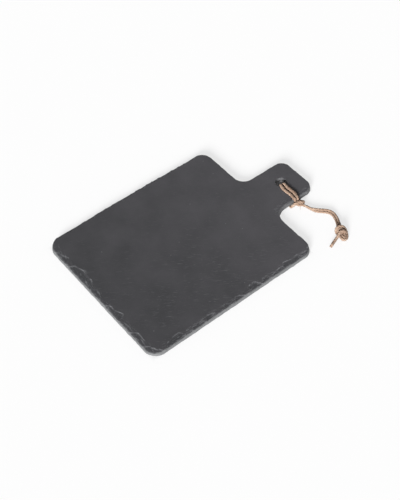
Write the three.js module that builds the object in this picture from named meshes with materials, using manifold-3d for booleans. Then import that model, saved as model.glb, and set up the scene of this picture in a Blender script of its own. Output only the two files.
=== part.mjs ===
// Slate cheese board with a hanging twine of jute.
// Millimetres. +Z is up, +X runs along the board towards its handle, +Y to the far long side.
// The origin is on the table, under the middle of the board's outline.
import * as THREE from 'three';
import { mergeVertices } from 'three/addons/utils/BufferGeometryUtils.js';
import Module from 'manifold-3d';

// Driving dimensions of the slate
const BODY_LENGTH = 234;
const BODY_WIDTH = 200;
const HANDLE_LENGTH = 66;
const HANDLE_WIDTH = 57;
const HANDLE_OFFSET = -1.15;
const SLATE_THICKNESS = 5.8;
const BODY_CORNER_RADIUS = 15;
const HANDLE_CORNER_RADIUS = 13;
const NEAR_SHOULDER_RADIUS = 17.5;
const FAR_SHOULDER_RADIUS = 14.5;
const CORNER_STEPS = 6;

// The arris is eased everywhere, and chipped by hand along the body's sides
const EASE_WIDTH = 1.2;
const EASE_DEPTH = 1.0;
const BOTTOM_EASE = 0.4;
const STEPS_PER_CHIP = 4;
const CHIP_LENGTH_WANDER = 0.2;
const CHIP_LENGTH_WAVES = 3;
const SHALLOWEST_CHIP = 0.5;
const GOLDEN_RATIO = 0.618034;

// Each side's chips: their pitch, how far they reach in and how deep they cut
const NEAR_SIDE_CHIPS = { pitch: 19, reach: 5.5, depth: 1.7 };
const FAR_SIDE_CHIPS = { pitch: 14, reach: 4, depth: 1.8 };
const FRONT_CHIPS = { pitch: 26, reach: 8.5, depth: 1.9 };
const SHOULDER_CHIPS = { pitch: 16, reach: 1.9, depth: 1.2 };
const HANDLE_CHIPS = { pitch: 14, reach: 1.5, depth: 1.2 };

// Hole drilled in the handle, with a rubbed upper rim and a lower rim that broke out under the drill
const HOLE_DIAMETER = 14;
const HOLE_FROM_HANDLE_END = 25.9;
const HOLE_Y = 1.2;
const HOLE_RIM = 0.8;
const HOLE_BREAKOUT = 1.5;
const HOLE_SIDES = 40;

// Stick-on foot pads under the body's corners
const FOOT_DIAMETER = 16;
const FOOT_THICKNESS = 1.75;
const FOOT_INSET = 26;
const FOOT_EDGE = 0.4;
const FOOT_SIDES = 28;

// Twine
const TWINE_DIAMETER = 3;
const TWINE_SIDES = 8;
const TWINE_CLEARANCE = 0.3;
const STRAND_GAP = 0.5;
const TABLE_CLEARANCE = 0.15;
const HITCH_STEPS = 130;
const TAIL_STEPS = 12;
const BALL_SIDES = 10;
const BALL_RINGS = 6;
const KNOT_CORD_DIAMETER = 3.7;
const KNOT_STEPS = 64;
const KNOT_LIFT = 2.5;
const HOLE_TURN_RADIUS = 3;

// Finishes
const SLATE = { color: '#4b4b4d', roughness: 0.85 };
const FOAM_RUBBER = { color: '#2a2b2d', roughness: 0.9 };
const JUTE = { color: '#b08d68', roughness: 0.95 };

// Steps of the working
const WELD_DISTANCE = 1e-5;
const SHARE_STEP = 1e-4;
const GAP_SAMPLES = 400;

// Places that follow from the sizes above
const FRONT_X = -(BODY_LENGTH + HANDLE_LENGTH) / 2;
const SHOULDER_X = FRONT_X + BODY_LENGTH;
const HANDLE_END_X = SHOULDER_X + HANDLE_LENGTH;
const HALF_BODY = BODY_WIDTH / 2;
const HANDLE_NEAR_Y = HANDLE_OFFSET - HANDLE_WIDTH / 2;
const HANDLE_FAR_Y = HANDLE_OFFSET + HANDLE_WIDTH / 2;
const UNDERSIDE_Z = FOOT_THICKNESS;
const TOP_Z = UNDERSIDE_Z + SLATE_THICKNESS;
const HOLE_X = HANDLE_END_X - HOLE_FROM_HANDLE_END;
const HOLE_RADIUS = HOLE_DIAMETER / 2;
const TWINE_RADIUS = TWINE_DIAMETER / 2;
const STRAND_SPACING = TWINE_DIAMETER + STRAND_GAP;
const LYING_Z = TWINE_RADIUS + TABLE_CLEARANCE;
const STACKED_Z = LYING_Z + STRAND_SPACING;
const OVER_Z = TOP_Z + TWINE_CLEARANCE + TWINE_RADIUS;
const PRESSED_TOP_Z = UNDERSIDE_Z - TWINE_CLEARANCE;
const UNDER_Z = (TABLE_CLEARANCE + PRESSED_TOP_Z) / 2;

const wasm = await Module();
wasm.setup();

// Solids and geometry

function mergedTriangles(geometry) {
  const bare = new THREE.BufferGeometry();
  bare.setAttribute('position', geometry.getAttribute('position').clone());
  bare.setIndex(geometry.index ? geometry.index.clone() : null);
  const merged = mergeVertices(bare, WELD_DISTANCE);
  const kept = [];
  for (let i = 0; i < merged.index.count; i += 3) {
    const corners = [0, 1, 2].map((k) => merged.index.getX(i + k));
    if (new Set(corners).size === 3) kept.push(...corners);
  }
  return { points: merged.getAttribute('position').array, kept };
}

function toSolid(geometry) {
  const { points, kept } = mergedTriangles(geometry);
  const mesh = new wasm.Mesh({
    numProp: 3,
    vertProperties: new Float32Array(points),
    triVerts: new Uint32Array(kept),
  });
  return new wasm.Manifold(mesh);
}

function toGeometry(solid) {
  const mesh = solid.getMesh();
  const geometry = new THREE.BufferGeometry();
  geometry.setAttribute('position', new THREE.BufferAttribute(new Float32Array(mesh.vertProperties), 3));
  geometry.setIndex(Array.from(mesh.triVerts));
  geometry.computeVertexNormals();
  return geometry;
}

// Turns a profile of [radius, height] points about the Z axis
function turned(profile, sides) {
  const points = profile.map(([radius, height]) => new THREE.Vector2(radius, height));
  return new THREE.LatheGeometry(points, sides).rotateX(Math.PI / 2);
}

function finished(name, geometry, finish) {
  const mesh = new THREE.Mesh(geometry, new THREE.MeshStandardMaterial({ ...finish, metalness: 0 }));
  mesh.name = name;
  return mesh;
}

// Slate

// The outline's corners, anticlockwise from the near front one, with the side that follows each
const CORNERS = [
  { x: FRONT_X, y: -HALF_BODY, radius: BODY_CORNER_RADIUS, chips: NEAR_SIDE_CHIPS },
  { x: SHOULDER_X, y: -HALF_BODY, radius: BODY_CORNER_RADIUS, chips: SHOULDER_CHIPS },
  { x: SHOULDER_X, y: HANDLE_NEAR_Y, radius: NEAR_SHOULDER_RADIUS, chips: HANDLE_CHIPS },
  { x: HANDLE_END_X, y: HANDLE_NEAR_Y, radius: HANDLE_CORNER_RADIUS, chips: HANDLE_CHIPS },
  { x: HANDLE_END_X, y: HANDLE_FAR_Y, radius: HANDLE_CORNER_RADIUS, chips: HANDLE_CHIPS },
  { x: SHOULDER_X, y: HANDLE_FAR_Y, radius: FAR_SHOULDER_RADIUS, chips: SHOULDER_CHIPS },
  { x: SHOULDER_X, y: HALF_BODY, radius: BODY_CORNER_RADIUS, chips: FAR_SIDE_CHIPS },
  { x: FRONT_X, y: HALF_BODY, radius: BODY_CORNER_RADIUS, chips: FRONT_CHIPS },
];

// How wide and deep the arris is broken at a share of the way along a side
function chipAt(chips, count, share) {
  const wander = CHIP_LENGTH_WANDER * Math.sin(2 * Math.PI * CHIP_LENGTH_WAVES * share);
  const place = count * share + wander;
  const number = Math.floor(place);
  const across = 2 * (place - number) - 1;
  const strength = SHALLOWEST_CHIP + (1 - SHALLOWEST_CHIP) * ((number * GOLDEN_RATIO) % 1);
  const scallop = strength * Math.sqrt(Math.max(0, 1 - across * across));
  return {
    width: EASE_WIDTH + (chips.reach - EASE_WIDTH) * scallop,
    depth: EASE_DEPTH + (chips.depth - EASE_DEPTH) * scallop,
  };
}

function cornerArc(before, corner, after) {
  const here = new THREE.Vector2(corner.x, corner.y);
  const arriving = here.clone().sub(new THREE.Vector2(before.x, before.y)).normalize();
  const leaving = new THREE.Vector2(after.x, after.y).sub(here).normalize();
  const side = Math.sign(arriving.cross(leaving));
  const inward = new THREE.Vector2(-arriving.y, arriving.x);
  const centre = here.clone().addScaledVector(arriving, -corner.radius);
  centre.addScaledVector(inward, side * corner.radius);
  return { centre, side, inward, radius: corner.radius };
}

// Points round the outline, each with the direction into the slate and the broken arris there
function outlinePoints() {
  const arcs = CORNERS.map((corner, i) => {
    const before = CORNERS[(i + CORNERS.length - 1) % CORNERS.length];
    return cornerArc(before, corner, CORNERS[(i + 1) % CORNERS.length]);
  });
  const points = [];
  arcs.forEach((arc, i) => {
    for (let step = 0; step <= CORNER_STEPS; step++) {
      const turn = (arc.side * Math.PI * step) / (2 * CORNER_STEPS);
      const inward = arc.inward.clone().rotateAround(new THREE.Vector2(), turn);
      const place = arc.centre.clone().addScaledVector(inward, -arc.side * arc.radius);
      points.push({ place, inward, width: EASE_WIDTH, depth: EASE_DEPTH });
    }
    const { place, inward } = points[points.length - 1];
    const next = arcs[(i + 1) % arcs.length];
    const end = next.centre.clone().addScaledVector(next.inward, -next.side * next.radius);
    const chips = CORNERS[i].chips;
    const count = Math.max(1, Math.round(place.distanceTo(end) / chips.pitch));
    const steps = count * STEPS_PER_CHIP;
    for (let step = 1; step < steps; step++) {
      const along = place.clone().lerp(end, step / steps);
      points.push({ place: along, inward, ...chipAt(chips, count, step / steps) });
    }
  });
  return points;
}

function slateGeometry() {
  const outline = outlinePoints();
  const ring = (inset, height) => outline.map((point) => {
    const place = point.place.clone().addScaledVector(point.inward, inset(point));
    return new THREE.Vector3(place.x, place.y, height(point));
  });
  const rings = [
    ring(() => BOTTOM_EASE, () => UNDERSIDE_Z),
    ring(() => 0, () => UNDERSIDE_Z + BOTTOM_EASE),
    ring(() => 0, (point) => TOP_Z - point.depth),
    ring((point) => point.width, () => TOP_Z),
  ];
  const count = outline.length;
  const index = [];
  for (let level = 0; level + 1 < rings.length; level++) {
    for (let i = 0; i < count; i++) {
      const here = level * count + i;
      const beside = level * count + ((i + 1) % count);
      index.push(here, beside, beside + count, here, beside + count, here + count);
    }
  }
  const topStart = (rings.length - 1) * count;
  for (const [a, b, c] of THREE.ShapeUtils.triangulateShape(rings[0], [])) index.push(a, c, b);
  for (const [a, b, c] of THREE.ShapeUtils.triangulateShape(rings[rings.length - 1], [])) {
    index.push(topStart + a, topStart + b, topStart + c);
  }
  const slab = new THREE.BufferGeometry().setFromPoints(rings.flat());
  slab.setIndex(index);
  const past = SLATE_THICKNESS;
  const drill = turned([
    [0, UNDERSIDE_Z - past],
    [HOLE_RADIUS + HOLE_BREAKOUT + past, UNDERSIDE_Z - past],
    [HOLE_RADIUS, UNDERSIDE_Z + HOLE_BREAKOUT],
    [HOLE_RADIUS, TOP_Z - HOLE_RIM],
    [HOLE_RADIUS + HOLE_RIM + past, TOP_Z + past],
    [0, TOP_Z + past],
  ], HOLE_SIDES);
  drill.translate(HOLE_X, HOLE_Y, 0);
  return toGeometry(toSolid(slab).subtract(toSolid(drill)));
}

// Foot pads

function footGeometry() {
  const radius = FOOT_DIAMETER / 2;
  const profile = [
    [0, 0],
    [radius - FOOT_EDGE, 0],
    [radius, FOOT_EDGE],
    [radius, FOOT_THICKNESS],
    [0, FOOT_THICKNESS],
  ];
  return toGeometry(toSolid(turned(profile, FOOT_SIDES)));
}

// Twine

function smoothCurve(points) {
  const places = points.map(([x, y, z]) => new THREE.Vector3(x, y, z));
  return new THREE.CatmullRomCurve3(places, false, 'centripetal');
}

function tube(curve, diameter, steps) {
  const section = new THREE.Shape();
  for (let i = 0; i < TWINE_SIDES; i++) {
    const angle = (2 * Math.PI * i) / TWINE_SIDES;
    const [x, y] = [(diameter / 2) * Math.cos(angle), (diameter / 2) * Math.sin(angle)];
    if (i === 0) section.moveTo(x, y);
    else section.lineTo(x, y);
  }
  section.closePath();
  return new THREE.ExtrudeGeometry(section, { steps, extrudePath: curve, bevelEnabled: false });
}

// The least space between a tube's surface and another turn of itself
function leastGapToItself(curve, diameter) {
  const points = curve.getSpacedPoints(GAP_SAMPLES);
  const apart = Math.ceil((Math.PI * diameter * GAP_SAMPLES) / curve.getLength());
  let least = Infinity;
  for (let i = 0; i < points.length; i++) {
    for (let k = i + apart; k < points.length; k++) least = Math.min(least, points[i].distanceTo(points[k]));
  }
  return least - diameter;
}

// Where the two strands go through the hole, as offsets from its middle
const STRAND_A_IN_HOLE = [HOLE_X - 3.35, HOLE_Y - 3.2];
const STRAND_B_IN_HOLE = [HOLE_X - 0.05, HOLE_Y - 5.2];
const EDGE_Y = HANDLE_NEAR_Y;

// The tail leaves the hitch here, with one strand above the other
const EXIT = [HOLE_X + 0.15, EDGE_Y - 14.25];

// A turn of a strand round the slate in the hole, from its upper run to its lower one
function turnInHole([x, y], over, under) {
  const reach = HOLE_TURN_RADIUS;
  const bend = reach * Math.SQRT1_2;
  const at = ([dx, dy], away, z) => [x + away * dx, y + away * dy, z];
  return [
    at(over, reach, OVER_Z),
    at(over, reach - bend, OVER_Z - reach + bend),
    at(over, 0, OVER_Z - reach),
    at(under, 0, UNDER_Z + reach),
    at(under, reach - bend, UNDER_Z + reach - bend),
    at(under, reach, UNDER_Z),
  ];
}

// The hitch: down the handle's side under the band, through the hole, and round the edge as the band
const HITCH_ROUTE = [
  [EXIT[0] - 0.6, EXIT[1] + 1.7, STACKED_Z],
  [HOLE_X - 2.5, EDGE_Y - 10.9, STACKED_Z - 0.1],
  [HOLE_X - 4.6, EDGE_Y - 9.0, 4.3],
  [HOLE_X - 6.2, EDGE_Y - 6.7, 3.0],
  [HOLE_X - 7.4, EDGE_Y - 4.3, 2.8],
  [HOLE_X - 8.1, EDGE_Y - 2.4, 3.9],
  [HOLE_X - 8.5, EDGE_Y - 1.9, TOP_Z - 1.0],
  [HOLE_X - 8.4, EDGE_Y - 0.4, OVER_Z - 0.7],
  [HOLE_X - 8.1, EDGE_Y + 2.4, OVER_Z],
  [HOLE_X - 6.1, EDGE_Y + 13.9, OVER_Z],
  ...turnInHole(STRAND_A_IN_HOLE, [-0.19, -0.98], [-0.36, -0.93]),
  [HOLE_X - 9.6, EDGE_Y + 11.5, UNDER_Z],
  [HOLE_X - 12.4, EDGE_Y + 2.5, UNDER_Z],
  [HOLE_X - 13.3, EDGE_Y - 1.7, UNDER_Z + 0.2],
  [HOLE_X - 13.4, EDGE_Y - 3.5, 2.6],
  [HOLE_X - 11.8, EDGE_Y - 4.9, 5.1],
  [HOLE_X - 9.1, EDGE_Y - 5.6, 6.5],
  [HOLE_X - 6.6, EDGE_Y - 5.9, 6.7],
  [HOLE_X - 3.7, EDGE_Y - 6.3, 6.7],
  [HOLE_X - 0.8, EDGE_Y - 6.7, 6.1],
  [HOLE_X + 1.5, EDGE_Y - 5.9, 4.3],
  [HOLE_X + 2.0, EDGE_Y - 3.7, 2.2],
  [HOLE_X + 1.7, EDGE_Y - 1.6, UNDER_Z + 0.2],
  [HOLE_X + 1.4, EDGE_Y + 2.5, UNDER_Z],
  [HOLE_X + 0.7, EDGE_Y + 12.0, UNDER_Z],
  ...turnInHole(STRAND_B_IN_HOLE, [-0.02, -1], [0.06, -1]).reverse(),
  [HOLE_X - 0.4, EDGE_Y + 11.1, OVER_Z],
  [HOLE_X - 2.7, EDGE_Y + 3.9, OVER_Z],
  [HOLE_X - 3.8, EDGE_Y - 0.4, OVER_Z - 0.7],
  [HOLE_X - 4.3, EDGE_Y - 1.9, TOP_Z - 1.0],
  [HOLE_X - 4.0, EDGE_Y - 2.4, 3.7],
  [HOLE_X - 3.1, EDGE_Y - 4.5, 2.2],
  [HOLE_X - 2.1, EDGE_Y - 7.2, LYING_Z],
  [HOLE_X - 1.3, EDGE_Y - 10.0, LYING_Z],
  [EXIT[0] - 0.6, EXIT[1] + 1.7, LYING_Z],
];

// The twine is soft: under the handle it is pressed flat between the slate and the table
function pressUnderHandle(geometry) {
  const places = geometry.getAttribute('position');
  const middleZ = (UNDERSIDE_Z + TOP_Z) / 2;
  for (let i = 0; i < places.count; i++) {
    const z = Math.max(places.getZ(i), TABLE_CLEARANCE);
    const fromHole = Math.hypot(places.getX(i) - HOLE_X, places.getY(i) - HOLE_Y);
    const inBreakout = Math.max(0, HOLE_RADIUS + HOLE_BREAKOUT - fromHole);
    const below = z < middleZ && places.getY(i) > EDGE_Y - TWINE_CLEARANCE;
    const covered = below && fromHole > HOLE_RADIUS - TWINE_CLEARANCE;
    places.setZ(i, covered ? Math.min(z, PRESSED_TOP_Z + inBreakout) : z);
  }
  return geometry;
}

// The tail's middle line from the hitch to the knot, with the turn of its two strands in degrees:
// at 90 the first strand lies on the second, at 0 they lie side by side
const TAIL_ROUTE = [
  { place: [EXIT[0], EXIT[1], LYING_Z + STRAND_SPACING / 2], turn: 90 },
  { place: [EXIT[0] + 2.0, EXIT[1] - 5.7, LYING_Z + 1.4], turn: 58 },
  { place: [EXIT[0] + 4.9, EXIT[1] - 11.3, LYING_Z + 0.6], turn: 21 },
  { place: [EXIT[0] + 9.2, EXIT[1] - 16.2, LYING_Z], turn: 0 },
  { place: [EXIT[0] + 13.6, EXIT[1] - 20.6, LYING_Z], turn: 0 },
  { place: [EXIT[0] + 16.2, EXIT[1] - 25.0, LYING_Z], turn: 0 },
  { place: [EXIT[0] + 16.9, EXIT[1] - 30.0, LYING_Z], turn: 0 },
  { place: [EXIT[0] + 15.4, EXIT[1] - 36.4, LYING_Z + 0.2], turn: 0 },
  { place: [EXIT[0] + 11.8, EXIT[1] - 42.2, LYING_Z + 2.9], turn: 0 },
  { place: [EXIT[0] + 8.9, EXIT[1] - 46.9, LYING_Z + 4.4], turn: 0 },
];
const BEND_POINT = 5;
const SWIVEL_CLEARANCE = TWINE_RADIUS + TWINE_CLEARANCE;

// One strand of a doubled stretch of twine, beside or above the other
class Strand extends THREE.Curve {
  constructor(route, side, from = 0, to = 1) {
    super();
    this.middle = smoothCurve(route.map((point) => point.place));
    Object.assign(this, { route, side, from, to });
  }

  getPoint(share, target = new THREE.Vector3()) {
    const along = this.from + (this.to - this.from) * share;
    const heading = this.middle.getTangent(along);
    const beside = new THREE.Vector3(-heading.y, heading.x, 0).normalize();
    const last = this.route.length - 1;
    const before = Math.min(Math.floor(along * last), last - 1);
    const [a, b] = [this.route[before].turn, this.route[before + 1].turn];
    const turn = THREE.MathUtils.degToRad(THREE.MathUtils.lerp(a, b, along * last - before));
    target.copy(this.middle.getPoint(along));
    target.addScaledVector(beside, (this.side * STRAND_SPACING * Math.cos(turn)) / 2);
    target.z += (this.side * STRAND_SPACING * Math.sin(turn)) / 2;
    return target;
  }
}

// A strand with a round end, which lets it turn beside the piece that it follows on from
function roundStarted(strand) {
  const start = strand.getPoint(0);
  const ball = new THREE.SphereGeometry(TWINE_RADIUS, BALL_SIDES, BALL_RINGS);
  ball.translate(start.x, start.y, start.z);
  return toGeometry(toSolid(tube(strand, TWINE_DIAMETER, TAIL_STEPS)).add(toSolid(ball)));
}

// Share of a route that lies a given length before its numbered point
function shareBefore(route, point, length) {
  const middle = smoothCurve(route.map((each) => each.place));
  const end = point / (route.length - 1);
  const mark = middle.getPoint(end);
  let share = end;
  while (share > 0 && middle.getPoint(share).distanceTo(mark) < length) share -= SHARE_STEP;
  return share;
}

// The overhand knot's own plane: along it, across it towards its two ends, and above its middle
const KNOT_MIDDLE = [EXIT[0] + 0.2, EXIT[1] - 53.4, TABLE_CLEARANCE + KNOT_LIFT + KNOT_CORD_DIAMETER / 2];
const KNOT_HEADING = THREE.MathUtils.degToRad(36.5);
const KNOT_ROUTE = [
  [10.6, 0.2, 1.75],
  [5.6, -2.2, KNOT_LIFT],
  [0, -7.0, -KNOT_LIFT],
  [-5.2, -9.6, -0.8],
  [-8.2, -7.0, 0.8],
  [-5.6, -2.2, KNOT_LIFT],
  [0, 1.0, 0],
  [5.6, -2.2, -KNOT_LIFT],
  [8.2, -7.0, -0.8],
  [5.2, -9.6, 0.8],
  [0, -7.0, KNOT_LIFT],
  [-5.6, -2.2, -KNOT_LIFT],
  [-9.2, -0.5, -KNOT_LIFT],
];

function inKnot([along, across, above]) {
  const [cos, sin] = [Math.cos(KNOT_HEADING), Math.sin(KNOT_HEADING)];
  const x = KNOT_MIDDLE[0] + along * cos - across * sin;
  const y = KNOT_MIDDLE[1] + along * sin + across * cos;
  return [x, y, KNOT_MIDDLE[2] + above];
}

// The two short ends that stick out of the knot
const END_ROUTE = [
  { place: inKnot([-9.7, -0.3, -KNOT_LIFT]), turn: 0 },
  { place: inKnot([-14.0, 1.6, LYING_Z - KNOT_MIDDLE[2]]), turn: 0 },
  { place: inKnot([-20.5, 4.4, LYING_Z - KNOT_MIDDLE[2]]), turn: 0 },
];
const END_LENGTHS = { a: 1, b: 0.93 };

const board = new THREE.Group();
board.add(finished('slate_board', slateGeometry(), SLATE));

const footPlaces = {
  front_near: [FRONT_X + FOOT_INSET, FOOT_INSET - HALF_BODY],
  front_far: [FRONT_X + FOOT_INSET, HALF_BODY - FOOT_INSET],
  rear_near: [SHOULDER_X - FOOT_INSET, FOOT_INSET - HALF_BODY],
  rear_far: [SHOULDER_X - FOOT_INSET, HALF_BODY - FOOT_INSET],
};
for (const [corner, [x, y]] of Object.entries(footPlaces)) {
  const foot = finished(`foot_pad_${corner}`, footGeometry(), FOAM_RUBBER);
  foot.position.set(x, y, 0);
  board.add(foot);
}

const twine = new THREE.Group();
const addTwine = (name, geometry) => twine.add(finished(name, geometry, JUTE));
const hitchCurve = smoothCurve(HITCH_ROUTE);
addTwine('twine_hitch', toGeometry(toSolid(pressUnderHandle(tube(hitchCurve, TWINE_DIAMETER, HITCH_STEPS)))));
const knotCurve = smoothCurve(KNOT_ROUTE.map(inKnot));
addTwine('twine_knot', toGeometry(toSolid(tube(knotCurve, KNOT_CORD_DIAMETER, KNOT_STEPS))));

const bendShare = BEND_POINT / (TAIL_ROUTE.length - 1);
const nearEnd = shareBefore(TAIL_ROUTE, BEND_POINT, SWIVEL_CLEARANCE);
const farEnd = shareBefore(TAIL_ROUTE, TAIL_ROUTE.length - 1, TWINE_CLEARANCE);
for (const [letter, side] of [['a', 1], ['b', -1]]) {
  addTwine(`twine_tail_near_${letter}`, roundStarted(new Strand(TAIL_ROUTE, side, 0, nearEnd)));
  addTwine(`twine_tail_far_${letter}`, roundStarted(new Strand(TAIL_ROUTE, side, bendShare, farEnd)));
  const end = new Strand(END_ROUTE, side, 0, END_LENGTHS[letter]);
  addTwine(`twine_end_${letter}`, toGeometry(toSolid(tube(end, TWINE_DIAMETER, TAIL_STEPS))));
}
board.add(twine);

const hitchGap = leastGapToItself(hitchCurve, TWINE_DIAMETER);
const knotGap = leastGapToItself(knotCurve, KNOT_CORD_DIAMETER);
console.log(`Least gap of the hitch to itself: ${hitchGap.toFixed(2)} mm`);
console.log(`Least gap of the knot to itself: ${knotGap.toFixed(2)} mm`);

export default board;
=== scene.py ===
"""Slate cheese board with a jute hanging twine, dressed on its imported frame.

Lengths are in millimetres up to the moment a mesh is made. Meshes are in metres, in the frame's own
axes: +X from the front edge to the end of the handle, +Y to the far long side, +Z out of the face.
"""

import itertools
import logging
import math
from dataclasses import dataclass, field
from enum import Enum, IntEnum
from typing import ClassVar, Iterable, Sequence

import bpy
import numpy as np
from mathutils import Matrix, Vector
from mathutils.geometry import delaunay_2d_cdt

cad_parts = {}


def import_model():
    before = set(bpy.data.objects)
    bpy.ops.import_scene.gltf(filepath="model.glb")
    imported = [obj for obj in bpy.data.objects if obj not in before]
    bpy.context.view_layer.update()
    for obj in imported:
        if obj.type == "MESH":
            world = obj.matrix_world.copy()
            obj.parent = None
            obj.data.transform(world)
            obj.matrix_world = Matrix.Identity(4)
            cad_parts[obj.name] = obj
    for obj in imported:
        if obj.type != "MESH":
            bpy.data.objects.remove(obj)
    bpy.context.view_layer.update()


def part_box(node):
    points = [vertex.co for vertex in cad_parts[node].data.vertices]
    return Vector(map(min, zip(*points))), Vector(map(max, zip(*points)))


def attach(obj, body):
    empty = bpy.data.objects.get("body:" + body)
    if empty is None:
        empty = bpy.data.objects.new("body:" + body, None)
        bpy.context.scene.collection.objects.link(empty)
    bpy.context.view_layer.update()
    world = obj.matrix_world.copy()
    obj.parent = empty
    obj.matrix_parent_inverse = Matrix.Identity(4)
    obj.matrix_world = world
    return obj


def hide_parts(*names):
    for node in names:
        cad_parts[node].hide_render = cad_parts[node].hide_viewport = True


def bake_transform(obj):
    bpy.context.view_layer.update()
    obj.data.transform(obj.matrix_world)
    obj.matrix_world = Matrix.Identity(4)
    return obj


LOG = logging.getLogger("cheese_board")

MM = 0.001
PHOTO_WIDTH = 400
PHOTO_HEIGHT = 500
SENSOR_MM = 36.0

Tree = bpy.types.NodeTree
Socket = bpy.types.NodeSocket
Faces = list[tuple[int, ...]]
Shares = dict[str, np.ndarray]


class Slot(Enum):
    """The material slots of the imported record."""

    SLATE = "slate"
    FOAM_RUBBER = "foam_rubber"
    JUTE = "jute"


class Body(Enum):
    """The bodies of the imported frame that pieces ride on."""

    BOARD = "board"
    TAIL_NEAR = "tail_near"
    TAIL_FAR = "tail_far"


class Strand(Enum):
    """The two strands of the doubled twine, each with the side of the middle line that it keeps to."""

    A = 1
    B = -1


class Seed(IntEnum):
    """The seeds of the noises and of the chances, each with a look of its own."""

    SIDE_SLOW = 3
    SIDE_FINE = 4
    SCAR_WIDE = 8
    SCAR_RAGGED = 9
    SCAR_FINE = 10
    FACE = 11
    DUST_SLOW = 12
    DUST_FINE = 13
    FUZZ = 17
    NICK = 21
    WALL_SLOW = 31
    WALL_FINE = 32
    SCARS = 41
    UNDERSIDE = 51
    HOLE_CHIP = 61
    HOLE_WALL = 62
    TWINE_SWELL = 71


# Colours and shader nodes


def linear(colour: str) -> tuple[float, float, float, float]:
    """Turns an sRGB colour into the linear one that shaders take.

    Args:
        colour: The colour as "#rrggbb".

    Returns:
        Linear red, green and blue, and an alpha of 1.
    """
    shares = [int(colour[start : start + 2], 16) / 255 for start in (1, 3, 5)]
    red, green, blue = (v / 12.92 if v <= 0.04045 else ((v + 0.055) / 1.055) ** 2.4 for v in shares)
    return red, green, blue, 1.0


def add_node(
    tree: Tree, kind: str, settings: dict | None = None, links: dict | None = None
) -> bpy.types.Node:
    """Adds a node with its settings and links.

    Args:
        tree: The node tree that gets the node.
        kind: The node's type, without the words ShaderNode in front.
        settings: Values by name. A name that the node itself has is set there, any other on its input.
        links: Output sockets by the name or number of the input that each feeds.

    Returns:
        The new node.
    """
    node = tree.nodes.new("ShaderNode" + kind)
    for name, value in (settings or {}).items():
        if isinstance(name, str) and hasattr(node, name):
            setattr(node, name, value)
        else:
            node.inputs[name].default_value = value
    for name, socket in (links or {}).items():
        tree.links.new(socket, node.inputs[name])
    return node


MIX_FACTOR, MIX_A, MIX_B, MIX_RESULT = 0, 6, 7, 2
COLOUR_MIX = {"data_type": "RGBA", "clamp_factor": True}
TIMES = {"operation": "MULTIPLY"}
LARGER = {"operation": "MAXIMUM"}
WHITE = (1, 1, 1, 1)


# Numbers that look natural

HASH_PRIMES = (73856093, 19349663, 83492791)
SEED_PRIME = 2654435761
# The shift and the factor of each round
HASH_ROUNDS = ((13, 1274126177), (16, 1103515245))
HASH_MASK = 0x7FFFFFFF


def value_noise(points: np.ndarray, size: float, seed: int) -> np.ndarray:
    """Smooth noise over points, the same on every run.

    Args:
        points: One row per point, in any number of dimensions.
        size: The size of the noise's cells, in the points' unit.
        seed: A number that tells one noise from another.

    Returns:
        One value from -1 to 1 per point.
    """
    grid = np.asarray(points, float) / size
    cell = np.floor(grid).astype(np.int64)
    part = grid - cell
    ease = part * part * (3 - 2 * part)
    primes = np.array(HASH_PRIMES)[: grid.shape[1]]
    total = np.zeros(len(grid))
    for corner in itertools.product((0, 1), repeat=grid.shape[1]):
        key = ((cell + corner) * primes).sum(axis=1) + seed * SEED_PRIME
        for shift, factor in HASH_ROUNDS:
            key = (key ^ (key >> shift)) * factor & HASH_MASK
        weight = np.where(np.array(corner) == 1, ease, 1 - ease).prod(axis=1)
        total += weight * (key / (HASH_MASK // 2) - 1)
    return total


def smooth_step(value: np.ndarray, start: float, end: float) -> np.ndarray:
    """Rises from 0 at start to 1 at end with no corner.

    Args:
        value: The values to look at.
        start: Where the rise starts.
        end: Where it ends.

    Returns:
        The share of the rise at each value.
    """
    share = np.clip((value - start) / (end - start), 0, 1)
    return share * share * (3 - 2 * share)


# Meshes and curves


def make_piece(
    name: str,
    points_mm: np.ndarray,
    faces: Iterable[Sequence[int]],
    finish: bpy.types.Material,
    shares: Shares | None = None,
    sharp_angle: float = 40.0,
) -> bpy.types.Object:
    """Makes a smooth-shaded piece from points in millimetres.

    Args:
        name: The piece's name.
        points_mm: One row per point.
        faces: The point numbers of each face, counter-clockwise seen from outside.
        finish: The piece's material.
        shares: Values per point that the finish reads by name.
        sharp_angle: Edges with a turn of more degrees than this stay sharp.

    Returns:
        The new object, in the scene.
    """
    mesh = bpy.data.meshes.new(name)
    points = (np.asarray(points_mm, float) * MM).tolist()
    mesh.from_pydata(points, [], [tuple(face) for face in faces])
    for share_name, values in (shares or {}).items():
        attribute = mesh.attributes.new(share_name, "FLOAT", "POINT")
        attribute.data.foreach_set("value", np.asarray(values, np.float32))
    mesh.validate()
    mesh.shade_smooth()
    mesh.set_sharp_from_angle(angle=math.radians(sharp_angle))
    mesh.materials.append(finish)
    piece = bpy.data.objects.new(name, mesh)
    bpy.context.scene.collection.objects.link(piece)
    return piece


def ring_faces(first: int, second: int, count: int) -> Faces:
    """Joins two closed rings of points by four-sided faces.

    Args:
        first: The number of the first ring's first point.
        second: The number of the second ring's first point.
        count: The number of points in each ring.

    Returns:
        The faces, which point outward when the second ring lies above an anticlockwise first one.
    """
    after = [(index + 1) % count for index in range(count)]
    return [(first + i, first + after[i], second + after[i], second + i) for i in range(count)]


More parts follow.
